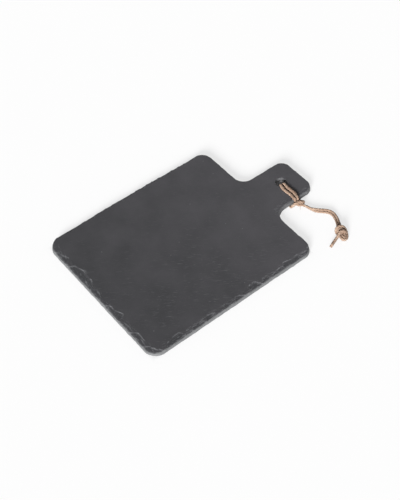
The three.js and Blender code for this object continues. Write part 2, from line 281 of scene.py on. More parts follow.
@dataclass
class RingStack:
    """Closed rings of points in order, with values per point that a finish reads by name."""

    names: Sequence[str] = ()
    first: int = 0
    points: list[np.ndarray] = field(default_factory=list)
    shares: dict[str, list[np.ndarray]] = field(init=False)

    def __post_init__(self) -> None:
        """Starts a list for each of the values."""
        self.shares = {name: [] for name in self.names}

    def add(self, places: np.ndarray, heights: np.ndarray | float, **marks: np.ndarray | float) -> None:
        """Adds a ring.

        Args:
            places: The ring's points, seen from above.
            heights: Their heights, or one height for all.
            marks: Values by name, per point or one for all. A name that isn't given gets 0.
        """
        count = len(places)
        self.points.append(np.column_stack([places, np.broadcast_to(heights, count)]))
        for name, values in self.shares.items():
            values.append(np.broadcast_to(marks.get(name, 0.0), count))

    def numbers(self, ring: int) -> np.ndarray:
        """Gives the numbers of one ring's points. A ring below 0 counts from the last one."""
        count = len(self.points[ring])
        return self.first + ring % len(self.points) * count + np.arange(count)

    def faces(self) -> Faces:
        """Joins each ring to the next one.

        Returns:
            The faces, which point outward when the rings rise and run anticlockwise.
        """
        starts = [int(self.numbers(ring)[0]) for ring in range(len(self.points))]
        joined = []
        for first, second in itertools.pairwise(starts):
            joined += ring_faces(first, second, len(self.points[0]))
        return joined


def smooth_line(points: Sequence[Sequence[float]], per_span: int) -> np.ndarray:
    """Draws a centripetal Catmull-Rom curve through a route's points.

    Args:
        points: The route.
        per_span: The number of steps between two of its points.

    Returns:
        The curve's points, the first and last of the route included.
    """
    route = np.asarray(points, float)
    ends = np.vstack([2 * route[0] - route[1], route, 2 * route[-1] - route[-2]])
    spans = np.sqrt(np.linalg.norm(np.diff(ends, axis=0), axis=1))[:, None]
    share = (np.arange(per_span) / per_span)[:, None]
    drawn = []
    for i in range(1, len(ends) - 2):
        before, here, there, after = ends[i - 1 : i + 3]
        d0, d1, d2 = spans[i - 1 : i + 2]
        leave = ((here - before) / d0 - (there - before) / (d0 + d1) + (there - here) / d1) * d1
        arrive = ((there - here) / d1 - (after - here) / (d1 + d2) + (after - there) / d2) * d1
        square = -3 * here + 3 * there - 2 * leave - arrive
        cube = 2 * here - 2 * there + leave + arrive
        drawn.append(here + share * (leave + share * (square + share * cube)))
    return np.vstack(drawn + [route[-1:]])


def even_line(line: np.ndarray, step: float) -> np.ndarray:
    """Sets points at even steps along a line.

    Args:
        line: The line's points.
        step: The wanted distance between two points.

    Returns:
        The new points, with both ends kept.
    """
    along = length_along(line)
    count = max(2, round(along[-1] / step) + 1)
    wanted = np.linspace(0, along[-1], count)
    return np.column_stack([np.interp(wanted, along, values) for values in line.T])


def length_along(line: np.ndarray) -> np.ndarray:
    """Gives the length from a line's start to each of its points."""
    steps = np.linalg.norm(np.diff(line[:, :3], axis=0), axis=1)
    return np.concatenate([[0], np.cumsum(steps)])


def carried_frames(line: np.ndarray) -> tuple[np.ndarray, np.ndarray, np.ndarray]:
    """Carries a cross frame along a line without spinning it.

    Args:
        line: The line's points.

    Returns:
        The direction of travel and two cross directions at each point.
    """
    heading = np.gradient(line, axis=0)
    heading /= np.linalg.norm(heading, axis=1)[:, None]
    cross = np.zeros_like(heading)
    start = np.cross(heading[0], (0.0, 0.0, 1.0))
    cross[0] = start / np.linalg.norm(start)
    for i in range(1, len(line)):
        turned = cross[i - 1] - heading[i] * (cross[i - 1] @ heading[i])
        cross[i] = turned / np.linalg.norm(turned)
    return heading, cross, np.cross(heading, cross)


# Finishes


class Finish:
    """What a surface is made of and how it was worked. Each finish draws its own material."""

    name: ClassVar[str]

    def material(self) -> bpy.types.Material:
        """Makes the finish's material.

        Returns:
            The material.
        """
        material = bpy.data.materials.new(self.name)
        material.use_nodes = True
        tree = material.node_tree
        tree.nodes.clear()
        add_node(tree, "OutputMaterial", None, {"Surface": self._shader(tree)})
        return material

    def _shader(self, tree: Tree) -> Socket:
        """Draws the surface in a tree and gives its shader."""
        raise NotImplementedError


@dataclass(frozen=True)
class SplitSlate(Finish):
    """Slate split by hand along its cleavage, its edges trimmed with a chisel and its hole drilled.

    The split face is matt and almost black, with a fine grain, paler clouds and a few bright specks.
    Fresh breaks are darker, a painted highlight runs as a pale line along their rims, and trimmed sides
    are dusty grey.
    Real grain is finer than 0.1 mm. It is drawn coarser here, so that it shows.
    """

    name: ClassVar[str] = "split_slate_with_trimmed_edges"
    dark: str = "#3e3e40"
    light: str = "#4e4d50"
    broken: str = "#38393b"
    # Pale colour of the painted highlight along the flakes' rims, which the pale dashes share
    bruised: str = "#86878a"
    speck: str = "#6a6b6d"
    trimmed_dark: str = "#5d5e5f"
    trimmed_light: str = "#7a7b7c"
    cloud_mm: float = 34.0
    grain_mm: float = 0.9
    grain_depth_mm: float = 0.12
    chatter_mm: float = 1.6
    speck_pitch_mm: float = 13.0
    # Length and width
    streak_mm: tuple[float, float] = (6.5, 0.9)
    dash_mm: tuple[float, float] = (6.0, 0.8)
    # Degrees from the board's length
    streak_heading: float = -36.0
    front_dash_heading: float = 83.0
    side_dash_heading: float = -5.0
    smoothest: float = 0.67
    roughest: float = 0.84

    def _shader(self, tree: Tree) -> Socket:
        """Draws the face, lays its marks and its edges over it, and gives the shader.

        Args:
            tree: The material's tree.

        Returns:
            The shader.
        """
        place = add_node(tree, "TexCoord").outputs["Object"]
        in_mm = {"operation": "SCALE", "Scale": 1 / MM}
        spot = add_node(tree, "VectorMath", in_mm, {0: place}).outputs[0]
        noises = []
        for size, detail in ((self.cloud_mm, 2.0), (self.grain_mm, 3.0), (self.chatter_mm, 2.0)):
            noise = add_node(tree, "TexNoise", {"Scale": 1 / size, "Detail": detail}, {"Vector": spot})
            noises.append(noise.outputs[0])
        cloud, grain, chatter = noises
        colour = self._split_face(tree, spot, cloud, grain)
        marks = [
            (self.speck, self._streaks(tree, spot, cloud)),
            (self.speck, self._specks(tree, spot)),
            *self._breaks(tree, spot, grain),
        ]
        for shade, share in marks:
            over = COLOUR_MIX | {MIX_B: linear(shade)}
            laid = add_node(tree, "Mix", over, {MIX_FACTOR: share, MIX_A: colour})
            colour = laid.outputs[MIX_RESULT]
        pair = {MIX_A: linear(self.trimmed_dark), MIX_B: linear(self.trimmed_light)}
        dusty = add_node(tree, "Mix", COLOUR_MIX | pair, {MIX_FACTOR: chatter}).outputs[MIX_RESULT]
        sides = add_node(tree, "Attribute", {"attribute_name": "trimmed"}).outputs["Fac"]
        edged = add_node(tree, "Mix", COLOUR_MIX, {MIX_FACTOR: sides, MIX_A: colour, MIX_B: dusty})
        uneven = {"To Min": self.smoothest, "To Max": self.roughest}
        rough = add_node(tree, "MapRange", uneven, {"Value": grain})
        low_relief = {"Strength": 0.35, "Distance": self.grain_depth_mm * MM}
        bump = add_node(tree, "Bump", low_relief, {"Height": grain})
        surface = {
            "Base Color": edged.outputs[MIX_RESULT],
            "Roughness": rough.outputs[0],
            "Normal": bump.outputs[0],
        }
        matt_stone = {"IOR": 1.5, "Specular IOR Level": 0.1}
        return add_node(tree, "BsdfPrincipled", matt_stone, surface).outputs[0]

    def _split_face(self, tree: Tree, spot: Socket, cloud: Socket, grain: Socket) -> Socket:
        """Draws the bare face: clouds, painted light that grows toward the handle, and grain.

        Args:
            tree: The material's tree.
            spot: Places on the board, in millimetres.
            cloud: The large noise.
            grain: The fine noise.

        Returns:
            The face's colour.
        """
        axes = add_node(tree, "SeparateXYZ", None, {0: spot})
        # Painted light: the face grows paler toward the handle, standing in for reflection and the
        # uneven fall of light across it
        lengthwise = {"From Min": -140.0, "From Max": 140.0, "To Min": -0.3, "To Max": 0.35}
        painted_light_ramp = add_node(tree, "MapRange", lengthwise, {"Value": axes.outputs["X"]})
        soft = {"From Min": 0.25, "From Max": 0.75, "To Min": 0.2, "To Max": 0.8}
        patch = add_node(tree, "MapRange", soft, {"Value": cloud})
        summed = {0: patch.outputs[0], 1: painted_light_ramp.outputs[0]}
        share = add_node(tree, "Math", {"operation": "ADD", "use_clamp": True}, summed)
        pair = {MIX_A: linear(self.dark), MIX_B: linear(self.light)}
        clouds = add_node(tree, "Mix", COLOUR_MIX | pair, {MIX_FACTOR: share.outputs[0]})
        fine = add_node(tree, "MapRange", {"To Min": 0.86, "To Max": 1.14}, {"Value": grain})
        tinted = {"Color": clouds.outputs[MIX_RESULT], "Value": fine.outputs[0]}
        return add_node(tree, "HueSaturation", None, tinted).outputs[0]

    def _streaks(self, tree: Tree, spot: Socket, cloud: Socket) -> Socket:
        """Finds the thin streaks along the cleavage, most of them in dark clouds on the near side.

        Args:
            tree: The material's tree.
            spot: Places on the board, in millimetres.
            cloud: The large noise.

        Returns:
            The share of streak at each place.
        """
        wavy = {"Detail": 2.5, "Distortion": 0.5}
        noise = self._drawn_out(tree, spot, self.streak_heading, self.streak_mm, wavy)
        across = add_node(tree, "SeparateXYZ", None, {0: spot}).outputs["Y"]
        thin = {"From Min": 0.6, "From Max": 0.8, "To Max": 0.7}
        in_clouds = {"From Min": 0.62, "From Max": 0.4, "To Min": 0.25}
        on_near_side = {"From Min": 70.0, "From Max": -60.0, "To Min": 0.3}
        shares = []
        for ease, value in ((thin, noise), (in_clouds, cloud), (on_near_side, across)):
            shares.append(add_node(tree, "MapRange", ease, {"Value": value}).outputs[0])
        where = add_node(tree, "Math", TIMES, {0: shares[1], 1: shares[2]})
        return add_node(tree, "Math", TIMES, {0: shares[0], 1: where.outputs[0]}).outputs[0]

    def _specks(self, tree: Tree, spot: Socket) -> Socket:
        """Finds the few bright specks, at most one in each cell of a wide pattern.

        Args:
            tree: The material's tree.
            spot: Places on the board, in millimetres.

        Returns:
            The share of speck at each place.
        """
        cells = add_node(tree, "TexVoronoi", {"Scale": 1 / self.speck_pitch_mm}, {"Vector": spot})
        small = {"From Min": 0.055, "From Max": 0.03, "To Max": 0.8}
        return add_node(tree, "MapRange", small, {"Value": cells.outputs["Distance"]}).outputs[0]

    def _breaks(self, tree: Tree, spot: Socket, grain: Socket) -> list[tuple[str, Socket]]:
        """Finds the flakes' dark breaks and the painted highlight along their rims, with the dashes
        beside them.

        Args:
            tree: The material's tree.
            spot: Places on the board, in millimetres.
            grain: The fine noise.

        Returns:
            The colour and the share of the breaks, and those of the rim highlight with the pale dashes.
        """
        breaks = add_node(tree, "Attribute", {"attribute_name": "broken"}).outputs["Fac"]
        # Painted highlight along the flakes' rims, patchy with the grain; the pale dashes join it
        rim_highlights_and_dashes = add_node(tree, "Attribute", {"attribute_name": "bruised"}).outputs["Fac"]
        patchy = add_node(tree, "MapRange", {"From Min": 0.3, "From Max": 0.62}, {"Value": grain})
        rim_highlights_and_dashes = add_node(tree, "Math", TIMES, {0: rim_highlights_and_dashes, 1: patchy.outputs[0]}).outputs[0]
        bands = (("chipped_front", self.front_dash_heading), ("chipped_side", self.side_dash_heading))
        for band, heading in bands:
            pale, dark = self._dashes(tree, spot, band, heading)
            rim_highlights_and_dashes = add_node(tree, "Math", LARGER, {0: rim_highlights_and_dashes, 1: pale}).outputs[0]
            breaks = add_node(tree, "Math", LARGER, {0: breaks, 1: dark}).outputs[0]
        return [(self.broken, breaks), (self.bruised, rim_highlights_and_dashes)]

    def _dashes(self, tree: Tree, spot: Socket, band: str, heading: float) -> list[Socket]:
        """Draws the short dashes that the trimming left in the face beside the rim.

        Args:
            tree: The material's tree.
            spot: Places on the board, in millimetres.
            band: The name of the shares that tell where the dashes lie.
            heading: The way that they run.

        Returns:
            The share of pale dash and of dark dash at each place.
        """
        noise = self._drawn_out(tree, spot, heading, self.dash_mm, {"Detail": 2.0, "Distortion": 0.8})
        where = add_node(tree, "Attribute", {"attribute_name": band}).outputs["Fac"]
        shares = []
        for start, end, most in ((0.58, 0.74, 0.75), (0.42, 0.3, 0.9)):
            ease = {"From Min": start, "From Max": end, "To Max": most}
            thin = add_node(tree, "MapRange", ease, {"Value": noise})
            shares.append(add_node(tree, "Math", TIMES, {0: thin.outputs[0], 1: where}).outputs[0])
        return shares

    @staticmethod
    def _drawn_out(
        tree: Tree, spot: Socket, heading: float, size: tuple[float, float], wavy: dict[str, float]
    ) -> Socket:
        """Draws noise that is stretched along a heading.

        Args:
            tree: The material's tree.
            spot: Places on the board, in millimetres.
            heading: The way that the noise is stretched.
            size: The length and the width of its cells.
            wavy: The noise's detail and distortion.

        Returns:
            The noise.
        """
        turn = (0, 0, math.radians(heading))
        stretch = {"vector_type": "TEXTURE", "Rotation": turn, "Scale": (*size, 1)}
        turned = add_node(tree, "Mapping", stretch, {"Vector": spot}).outputs[0]
        return add_node(tree, "TexNoise", {"Scale": 1.0} | wavy, {"Vector": turned}).outputs[0]


@dataclass(frozen=True)
class FoamRubber(Finish):
    """Foam rubber punched from sheet: matt black, with fine open cells on the cut edge."""

    name: ClassVar[str] = "punched_foam_rubber"
    pore: str = "#1c1d1f"
    skin: str = "#2d2e30"
    cell_mm: float = 0.45
    cell_depth_mm: float = 0.1

    def _shader(self, tree: Tree) -> Socket:
        """Draws the foam's cells and gives the shader.

        Args:
            tree: The material's tree.

        Returns:
            The shader.
        """
        place = add_node(tree, "TexCoord").outputs["Object"]
        cells = add_node(tree, "TexVoronoi", {"Scale": 1 / (self.cell_mm * MM)}, {"Vector": place})
        wall = cells.outputs["Distance"]
        pair = {MIX_A: linear(self.pore), MIX_B: linear(self.skin)}
        colour = add_node(tree, "Mix", COLOUR_MIX | pair, {MIX_FACTOR: wall})
        open_cells = {"Strength": 0.5, "Distance": self.cell_depth_mm * MM}
        bump = add_node(tree, "Bump", open_cells, {"Height": wall})
        surface = {"Base Color": colour.outputs[MIX_RESULT], "Normal": bump.outputs[0]}
        return add_node(tree, "BsdfPrincipled", {"Roughness": 0.9, "IOR": 1.5}, surface).outputs[0]


@dataclass(frozen=True)
class TwistedJute(Finish):
    """Jute fibre spun into yarns and laid into twine: tan, dry and streaky along each yarn.

    The streaks follow the yarn, so they come from the shares that the mesh holds along and around it.
    Real fibres are finer than 0.1 mm. The streaks are drawn coarser, so that they show.
    """

    name: ClassVar[str] = "spun_jute_twine"
    shade: str = "#6e584a"
    body: str = "#937b6a"
    bright: str = "#b19d8c"
    streak_mm: float = 0.35
    streak_length_mm: float = 5.0
    streak_depth_mm: float = 0.15
    patch_mm: float = 7.0

    def _shader(self, tree: Tree) -> Socket:
        """Draws the yarns' streaks and pale patches and gives the shader.

        Args:
            tree: The material's tree.

        Returns:
            The shader.
        """
        along = add_node(tree, "Attribute", {"attribute_name": "along_mm"}).outputs["Fac"]
        around = add_node(tree, "Attribute", {"attribute_name": "around_mm"}).outputs["Fac"]
        yarn = add_node(tree, "CombineXYZ", None, {"X": along, "Y": around}).outputs[0]
        stretch = {"Scale": (1 / self.streak_length_mm, 1 / self.streak_mm, 1)}
        drawn_out = add_node(tree, "Mapping", stretch, {"Vector": yarn}).outputs[0]
        streaks = {"Scale": 1.0, "Detail": 2.0}
        streak = add_node(tree, "TexNoise", streaks, {"Vector": drawn_out}).outputs[0]
        patches = {"Scale": 1 / self.patch_mm, "Detail": 1.0}
        patch = add_node(tree, "TexNoise", patches, {"Vector": yarn}).outputs[0]
        raised = add_node(tree, "MapRange", {"From Min": 0.3, "From Max": 0.52}, {"Value": streak})
        faded = {"From Min": 0.45, "From Max": 0.8, "To Max": 0.7}
        pale = add_node(tree, "MapRange", faded, {"Value": patch})
        pair = {MIX_A: linear(self.shade), MIX_B: linear(self.body)}
        streaky = add_node(tree, "Mix", COLOUR_MIX | pair, {MIX_FACTOR: raised.outputs[0]})
        over = COLOUR_MIX | {MIX_B: linear(self.bright)}
        patched = {MIX_FACTOR: pale.outputs[0], MIX_A: streaky.outputs[MIX_RESULT]}
        colour = add_node(tree, "Mix", over, patched)
        grooves = {"Strength": 0.6, "Distance": self.streak_depth_mm * MM}
        bump = add_node(tree, "Bump", grooves, {"Height": streak})
        surface = {"Base Color": colour.outputs[MIX_RESULT], "Normal": bump.outputs[0]}
        dry = {"Roughness": 0.85, "Specular IOR Level": 0.2}
        return add_node(tree, "BsdfPrincipled", dry, surface).outputs[0]


@dataclass(frozen=True)
class PaleFloor(Finish):
    """Smooth white studio floor that the camera sees almost as white as the surround.

    A share of what the camera sees is plain white, so that shadows stay light, as on an overexposed
    floor. That share fades out under the board, where the floor lies in the slab's shade.
    """

    name: ClassVar[str] = "matt_white_floor"
    footprint: Sequence[tuple[float, float, float, float]]
    colour: str = "#f7f7f7"
    whitened: float = 0.72
    shade_from_mm: float = -3.0
    shade_to_mm: float = 0.5

    def _shader(self, tree: Tree) -> Socket:
        """Draws the floor, whitens what the camera sees of it and gives the shader.

        Args:
            tree: The material's tree.

        Returns:
            The shader.
        """
        place = add_node(tree, "TexCoord").outputs["Object"]
        mottle = add_node(tree, "TexNoise", {"Scale": 3.0}, {"Vector": place})
        faint = {"To Min": 0.995, "To Max": 1.0}
        value = add_node(tree, "MapRange", faint, {"Value": mottle.outputs[0]})
        plain = {"Color": linear(self.colour)}
        colour = add_node(tree, "HueSaturation", plain, {"Value": value.outputs[0]})
        matt = add_node(tree, "BsdfDiffuse", None, {"Color": colour.outputs[0]})
        start, end = self.shade_from_mm * MM, self.shade_to_mm * MM
        ease = {"From Min": start, "From Max": end, "To Max": self.whitened}
        white = add_node(tree, "MapRange", ease, {"Value": self._outside_board(tree, place)})
        share = add_node(tree, "Math", TIMES, {0: white.outputs[0], 1: seen_directly(tree)})
        glow = add_node(tree, "Emission", {"Strength": 1.0})
        layers = {0: share.outputs[0], 1: matt.outputs[0], 2: glow.outputs[0]}
        return add_node(tree, "MixShader", None, layers).outputs[0]

    def _outside_board(self, tree: Tree, place: Socket) -> Socket:
        """Gives how far each place lies outside the board's footprint.

        Args:
            tree: The material's tree.
            place: Places on the floor, in metres.

        Returns:
            The distance in metres, less than 0 under the board.
        """
        gaps = []
        for left, near, right, far in self.footprint:
            middle = ((left + right) / 2 * MM, (near + far) / 2 * MM, 0)
            half = ((right - left) / 2 * MM, (far - near) / 2 * MM, 0)
            apart = add_node(tree, "VectorMath", {"operation": "SUBTRACT", 1: middle}, {0: place})
            size = add_node(tree, "VectorMath", {"operation": "ABSOLUTE"}, {0: apart.outputs[0]})
            less_half = {"operation": "SUBTRACT", 1: half}
            over = add_node(tree, "VectorMath", less_half, {0: size.outputs[0]})
            axes = add_node(tree, "SeparateXYZ", None, {0: over.outputs[0]})
            pair = {0: axes.outputs["X"], 1: axes.outputs["Y"]}
            gaps.append(add_node(tree, "Math", LARGER, pair).outputs[0])
        return add_node(tree, "Math", {"operation": "MINIMUM"}, dict(enumerate(gaps))).outputs[0]


def seen_directly(tree: Tree) -> Socket:
    """Gives 1 where the camera sees a surface, also in a mirror or through glass, and 0 elsewhere.

    Args:
        tree: The tree that gets the nodes.

    Returns:
        The socket with that value.
    """
    path = add_node(tree, "LightPath")
    seen = path.outputs["Is Camera Ray"]
    for ray in ("Is Glossy Ray", "Is Transmission Ray"):
        seen = add_node(tree, "Math", LARGER, {0: seen, 1: path.outputs[ray]}).outputs[0]
    return seen


# The slate

# Where the board's straight sides lie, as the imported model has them
FRONT_X, SHOULDER_X, HANDLE_END_X = -150, 84, 150
HALF_WIDTH = 100
HANDLE_NEAR_Y, HANDLE_FAR_Y = -29.65, 27.35
BODY_LENGTH = SHOULDER_X - FRONT_X
# How far the handle's rectangle runs into the body's
HANDLE_OVERLAP = 24
BOARD_RECTANGLES = (
    (FRONT_X, -HALF_WIDTH, SHOULDER_X, HALF_WIDTH),
    (SHOULDER_X - HANDLE_OVERLAP, HANDLE_NEAR_Y, HANDLE_END_X, HANDLE_FAR_Y),
)
SLATE_SHARES = ("broken", "bruised", "trimmed", "chipped_front", "chipped_side")
# How the terraces of a split face are drawn out, and how many there are to each wave of the noise
CLEAVAGE = ((0.8, 0.6), (-0.3, 0.4))
TERRACES = 3


def split_relief(places: np.ndarray, seed: int) -> np.ndarray:
    """Gives the height of a split face's low terraces.

    Args:
        places: Points on the face.
        seed: The seed of the face's noise.

    Returns:
        Heights from about -0.2 to 0 mm.
    """
    skewed = places @ np.array(CLEAVAGE)
    slow = value_noise(skewed, 42.0, seed) + 0.5 * value_noise(skewed, 17.0, seed + 1)
    flat = np.floor(slow * TERRACES)
    terrace = flat + smooth_step(slow * TERRACES - flat, 0.35, 0.65)
    return 0.05 * terrace - 0.12 + 0.025 * value_noise(places, 4.0, seed + 2)


@dataclass(frozen=True)
class Rim:
    """Points along the board's outline, anticlockwise, with the way inward and the length so far."""

    points: np.ndarray
    inward: np.ndarray
    along: np.ndarray
    length: float

    @classmethod
    def rounded(cls, corners: Sequence[tuple[float, float, float]], step: float) -> "Rim":
        """Walks a polygon with rounded corners.

        Args:
            corners: The corner points with their radii, anticlockwise.
            step: The distance between two points of the rim.

        Returns:
            The rim.
        """
        places = [np.array(corner[:2], float) for corner in corners]
        drawn, headings = [], []
        for index, (*_, radius) in enumerate(corners):
            here = places[index]
            arriving = here - places[index - 1]
            arriving /= np.linalg.norm(arriving)
            leaving = places[(index + 1) % len(places)] - here
            reach = np.linalg.norm(leaving)
            leaving /= reach
            sideways = np.array([-arriving[1], arriving[0]])
            turn = math.atan2(float(sideways @ leaving), float(arriving @ leaving))
            tangent = radius * math.tan(abs(turn) / 2)
            centre = here - arriving * tangent + sideways * math.copysign(radius, turn)
            for share in np.linspace(0, 1, max(4, round(radius * abs(turn) / step)), endpoint=False):
                angle = turn * share
                heading = arriving * math.cos(angle) + sideways * math.sin(angle)
                outward = np.array([heading[1], -heading[0]]) * math.copysign(1, turn)
                drawn.append(centre + outward * radius)
                headings.append(heading)
            next_radius = corners[(index + 1) % len(corners)][2]
            straight = reach - tangent - next_radius
            first = here + leaving * tangent
            for share in np.linspace(0, 1, max(2, round(straight / step)), endpoint=False):
                drawn.append(first + leaving * straight * share)
                headings.append(leaving)
        points, heading = np.array(drawn), np.array(headings)
        steps = np.linalg.norm(np.roll(points, -1, axis=0) - points, axis=1)
        along = np.concatenate([[0], np.cumsum(steps)[:-1]])
        inward = np.column_stack([-heading[:, 1], heading[:, 0]])
        return cls(points, inward, along, float(steps.sum()))

    def inset(self, distance: np.ndarray | float) -> np.ndarray:
        """Gives the rim's points moved inward by a distance, or each by its own."""
        return self.points + self.inward * np.reshape(distance, (-1, 1))

    def nearest(self, point: tuple[float, float]) -> int:
        """Gives the number of the rim's point that is nearest to a place."""
        return int(np.argmin(np.linalg.norm(self.points - np.array(point), axis=1)))

    def gap_to(self, point: tuple[float, float]) -> float:
        """Gives the distance from the rim to a place."""
        return float(np.min(np.linalg.norm(self.points - np.array(point), axis=1)))

    def place_of(self, point: tuple[float, float]) -> float:
        """Gives the length along the rim at its point that is nearest to a place."""
        return float(self.along[self.nearest(point)])

    def from_place(self, place: float) -> np.ndarray:
        """Gives each point's signed length along the rim from a place on it."""
        return (self.along - place + self.length / 2) % self.length - self.length / 2


@dataclass(frozen=True)
class Scar:
    """The scar that a flake left when it broke off the rim of the slate's face.

    Its inner line is given by points on the face, and falls back to the rim past both ends.
    """

    line: Sequence[tuple[float, float]]
    depth: float = 0.8
    # How strong the painted highlight along the scar's inner rim is
    bright: float = 0.7
    taper: float = 3.0

    def reach(self, rim: Rim) -> np.ndarray:
        """Gives how far the scar reaches inward at each point of the rim."""
        first = rim.place_of(self.line[0])
        spans = [float(rim.from_place(first)[rim.nearest(point)]) for point in self.line]
        insets = [rim.gap_to(point) for point in self.line]
        order = np.argsort(spans)
        ends = spans[order[0]] - self.taper, spans[order[-1]] + self.taper
        steps = [ends[0], *(spans[i] for i in order), ends[1]]
        depths = [0.0, *(insets[i] for i in order), 0.0]
        cornered = np.interp(rim.from_place(first), steps, depths)
        return np.mean([np.roll(cornered, shift) for shift in range(-2, 3)], axis=0)


# The scars that show best lie along the front edge and the near long side.
FRONT_SCARS = (
    Scar(((-146.8, 81.5), (-145.3, 72.6), (-141, 66)), 0.6, bright=0.6),
    Scar(
        ((-148.5, 55), (-143.6, 54), (-141, 46.8), (-139.5, 36), (-140.7, 25), (-143.2, 18.5)),
        1.1,
        bright=0.9,
    ),
    Scar(((-142.5, 12.4), (-144.1, 4.9), (-146, -0.8)), 0.8, bright=0.6),
    Scar(((-145, -16), (-144.6, -23), (-142, -31.4), (-139.6, -36)), 0.9, bright=0.9),
    Scar(((-146.4, -41.6), (-145.6, -55.2)), 0.6, bright=0.5),
    Scar(((-148.5, -59.4), (-143.4, -62.4), (-142.5, -70), (-144.8, -80)), 1.1, bright=0.9),
    Scar(((-143.6, -85), (-141.5, -91), (-137, -96)), 1.2, bright=0.9),
    Scar(((-147.6, 34), (-146.6, 27), (-147.8, 20)), 1.3, bright=0.8),
    Scar(((-147.8, -68), (-147.2, -74), (-148, -80)), 1.3, bright=0.8),
)
NEAR_SCARS = (
    Scar(((-128, -95), (-121, -92), (-107, -91.6)), 0.7, bright=0.6),
    Scar(((-104, -97), (-97, -96.4)), 0.8, bright=0.5),
    Scar(((-91.6, -93.2), (-79.7, -95)), 0.8, bright=0.8),
    Scar(((-72.8, -92.5), (-66, -94.6), (-59.7, -97.8)), 0.7, bright=0.6),
    Scar(((-47, -93.6), (-42.5, -95.3)), 0.8, bright=0.5),
    Scar(((-31.6, -93.2), (-26, -94.9), (-22, -98.2)), 0.9, bright=0.8),
    Scar(((-10.3, -91.9), (0, -90.8), (2.2, -95.4)), 1.0, bright=1.0),
    Scar(((8, -94.5), (16, -93.4)), 0.5, bright=0.5),
    Scar(((22.9, -96), (38.2, -94)), 0.9, bright=0.9),
    Scar(((40.7, -91.2), (51.8, -93.3), (64, -93.0)), 0.8, bright=0.8),
    Scar(((66, -94.6), (75.7, -93.9), (80, -92.5)), 0.8, bright=0.9),
)


@dataclass(frozen=True)
class ScarRun:
    """A run of small scars along one straight side, anticlockwise, spread by chance."""

    start: tuple[float, float]
    end: tuple[float, float]
    pitch: float
    reach: float
    depth: float

    def scars(self, seed: int) -> list[Scar]:
        """Spreads the run's scars.

        Args:
            seed: The seed of the run's chances.

        Returns:
            The scars in order.
        """
        chance = np.random.default_rng(seed)
        way = np.array(self.end, float) - np.array(self.start, float)
        length = float(np.linalg.norm(way))
        way /= length
        inward = np.array((-way[1], way[0]))
        spread = []
        for index in range(max(1, round(length / self.pitch))):
            size = chance.uniform(0.5, 1.15)
            middle = np.array(self.start) + way * self.pitch * (index + chance.uniform(0.2, 0.8))
            half = self.pitch * chance.uniform(0.12, 0.4)
            skew = chance.uniform(0.3, 1.0, size=2)
            first = middle - way * half + inward * self.reach * size * skew[0]
            last = middle + way * half + inward * self.reach * size * skew[1]
            line = (tuple(first), tuple(last))
            spread.append(Scar(line, self.depth * size, chance.uniform(0.1, 0.6), taper=1.6))
        return spread


SCAR_RUNS = (
    ScarRun((FRONT_X, 80), (FRONT_X, -80), 9, 2.6, 0.9),
    ScarRun((-130, -HALF_WIDTH), (70, -HALF_WIDTH), 9, 2.8, 0.9),
    ScarRun((SHOULDER_X, -88), (SHOULDER_X, -48), 13, 2.0, 0.5),
    ScarRun((100, HANDLE_NEAR_Y), (138, HANDLE_NEAR_Y), 11, 2.0, 0.6),
    ScarRun((HANDLE_END_X, -18), (HANDLE_END_X, 16), 11, 1.8, 0.5),
    ScarRun((138, HANDLE_FAR_Y), (98, HANDLE_FAR_Y), 11, 1.8, 0.5),
    ScarRun((SHOULDER_X, 42), (SHOULDER_X, 88), 13, 2.0, 0.5),
    ScarRun((72, HALF_WIDTH), (-140, HALF_WIDTH), 10, 3.0, 0.8),
)


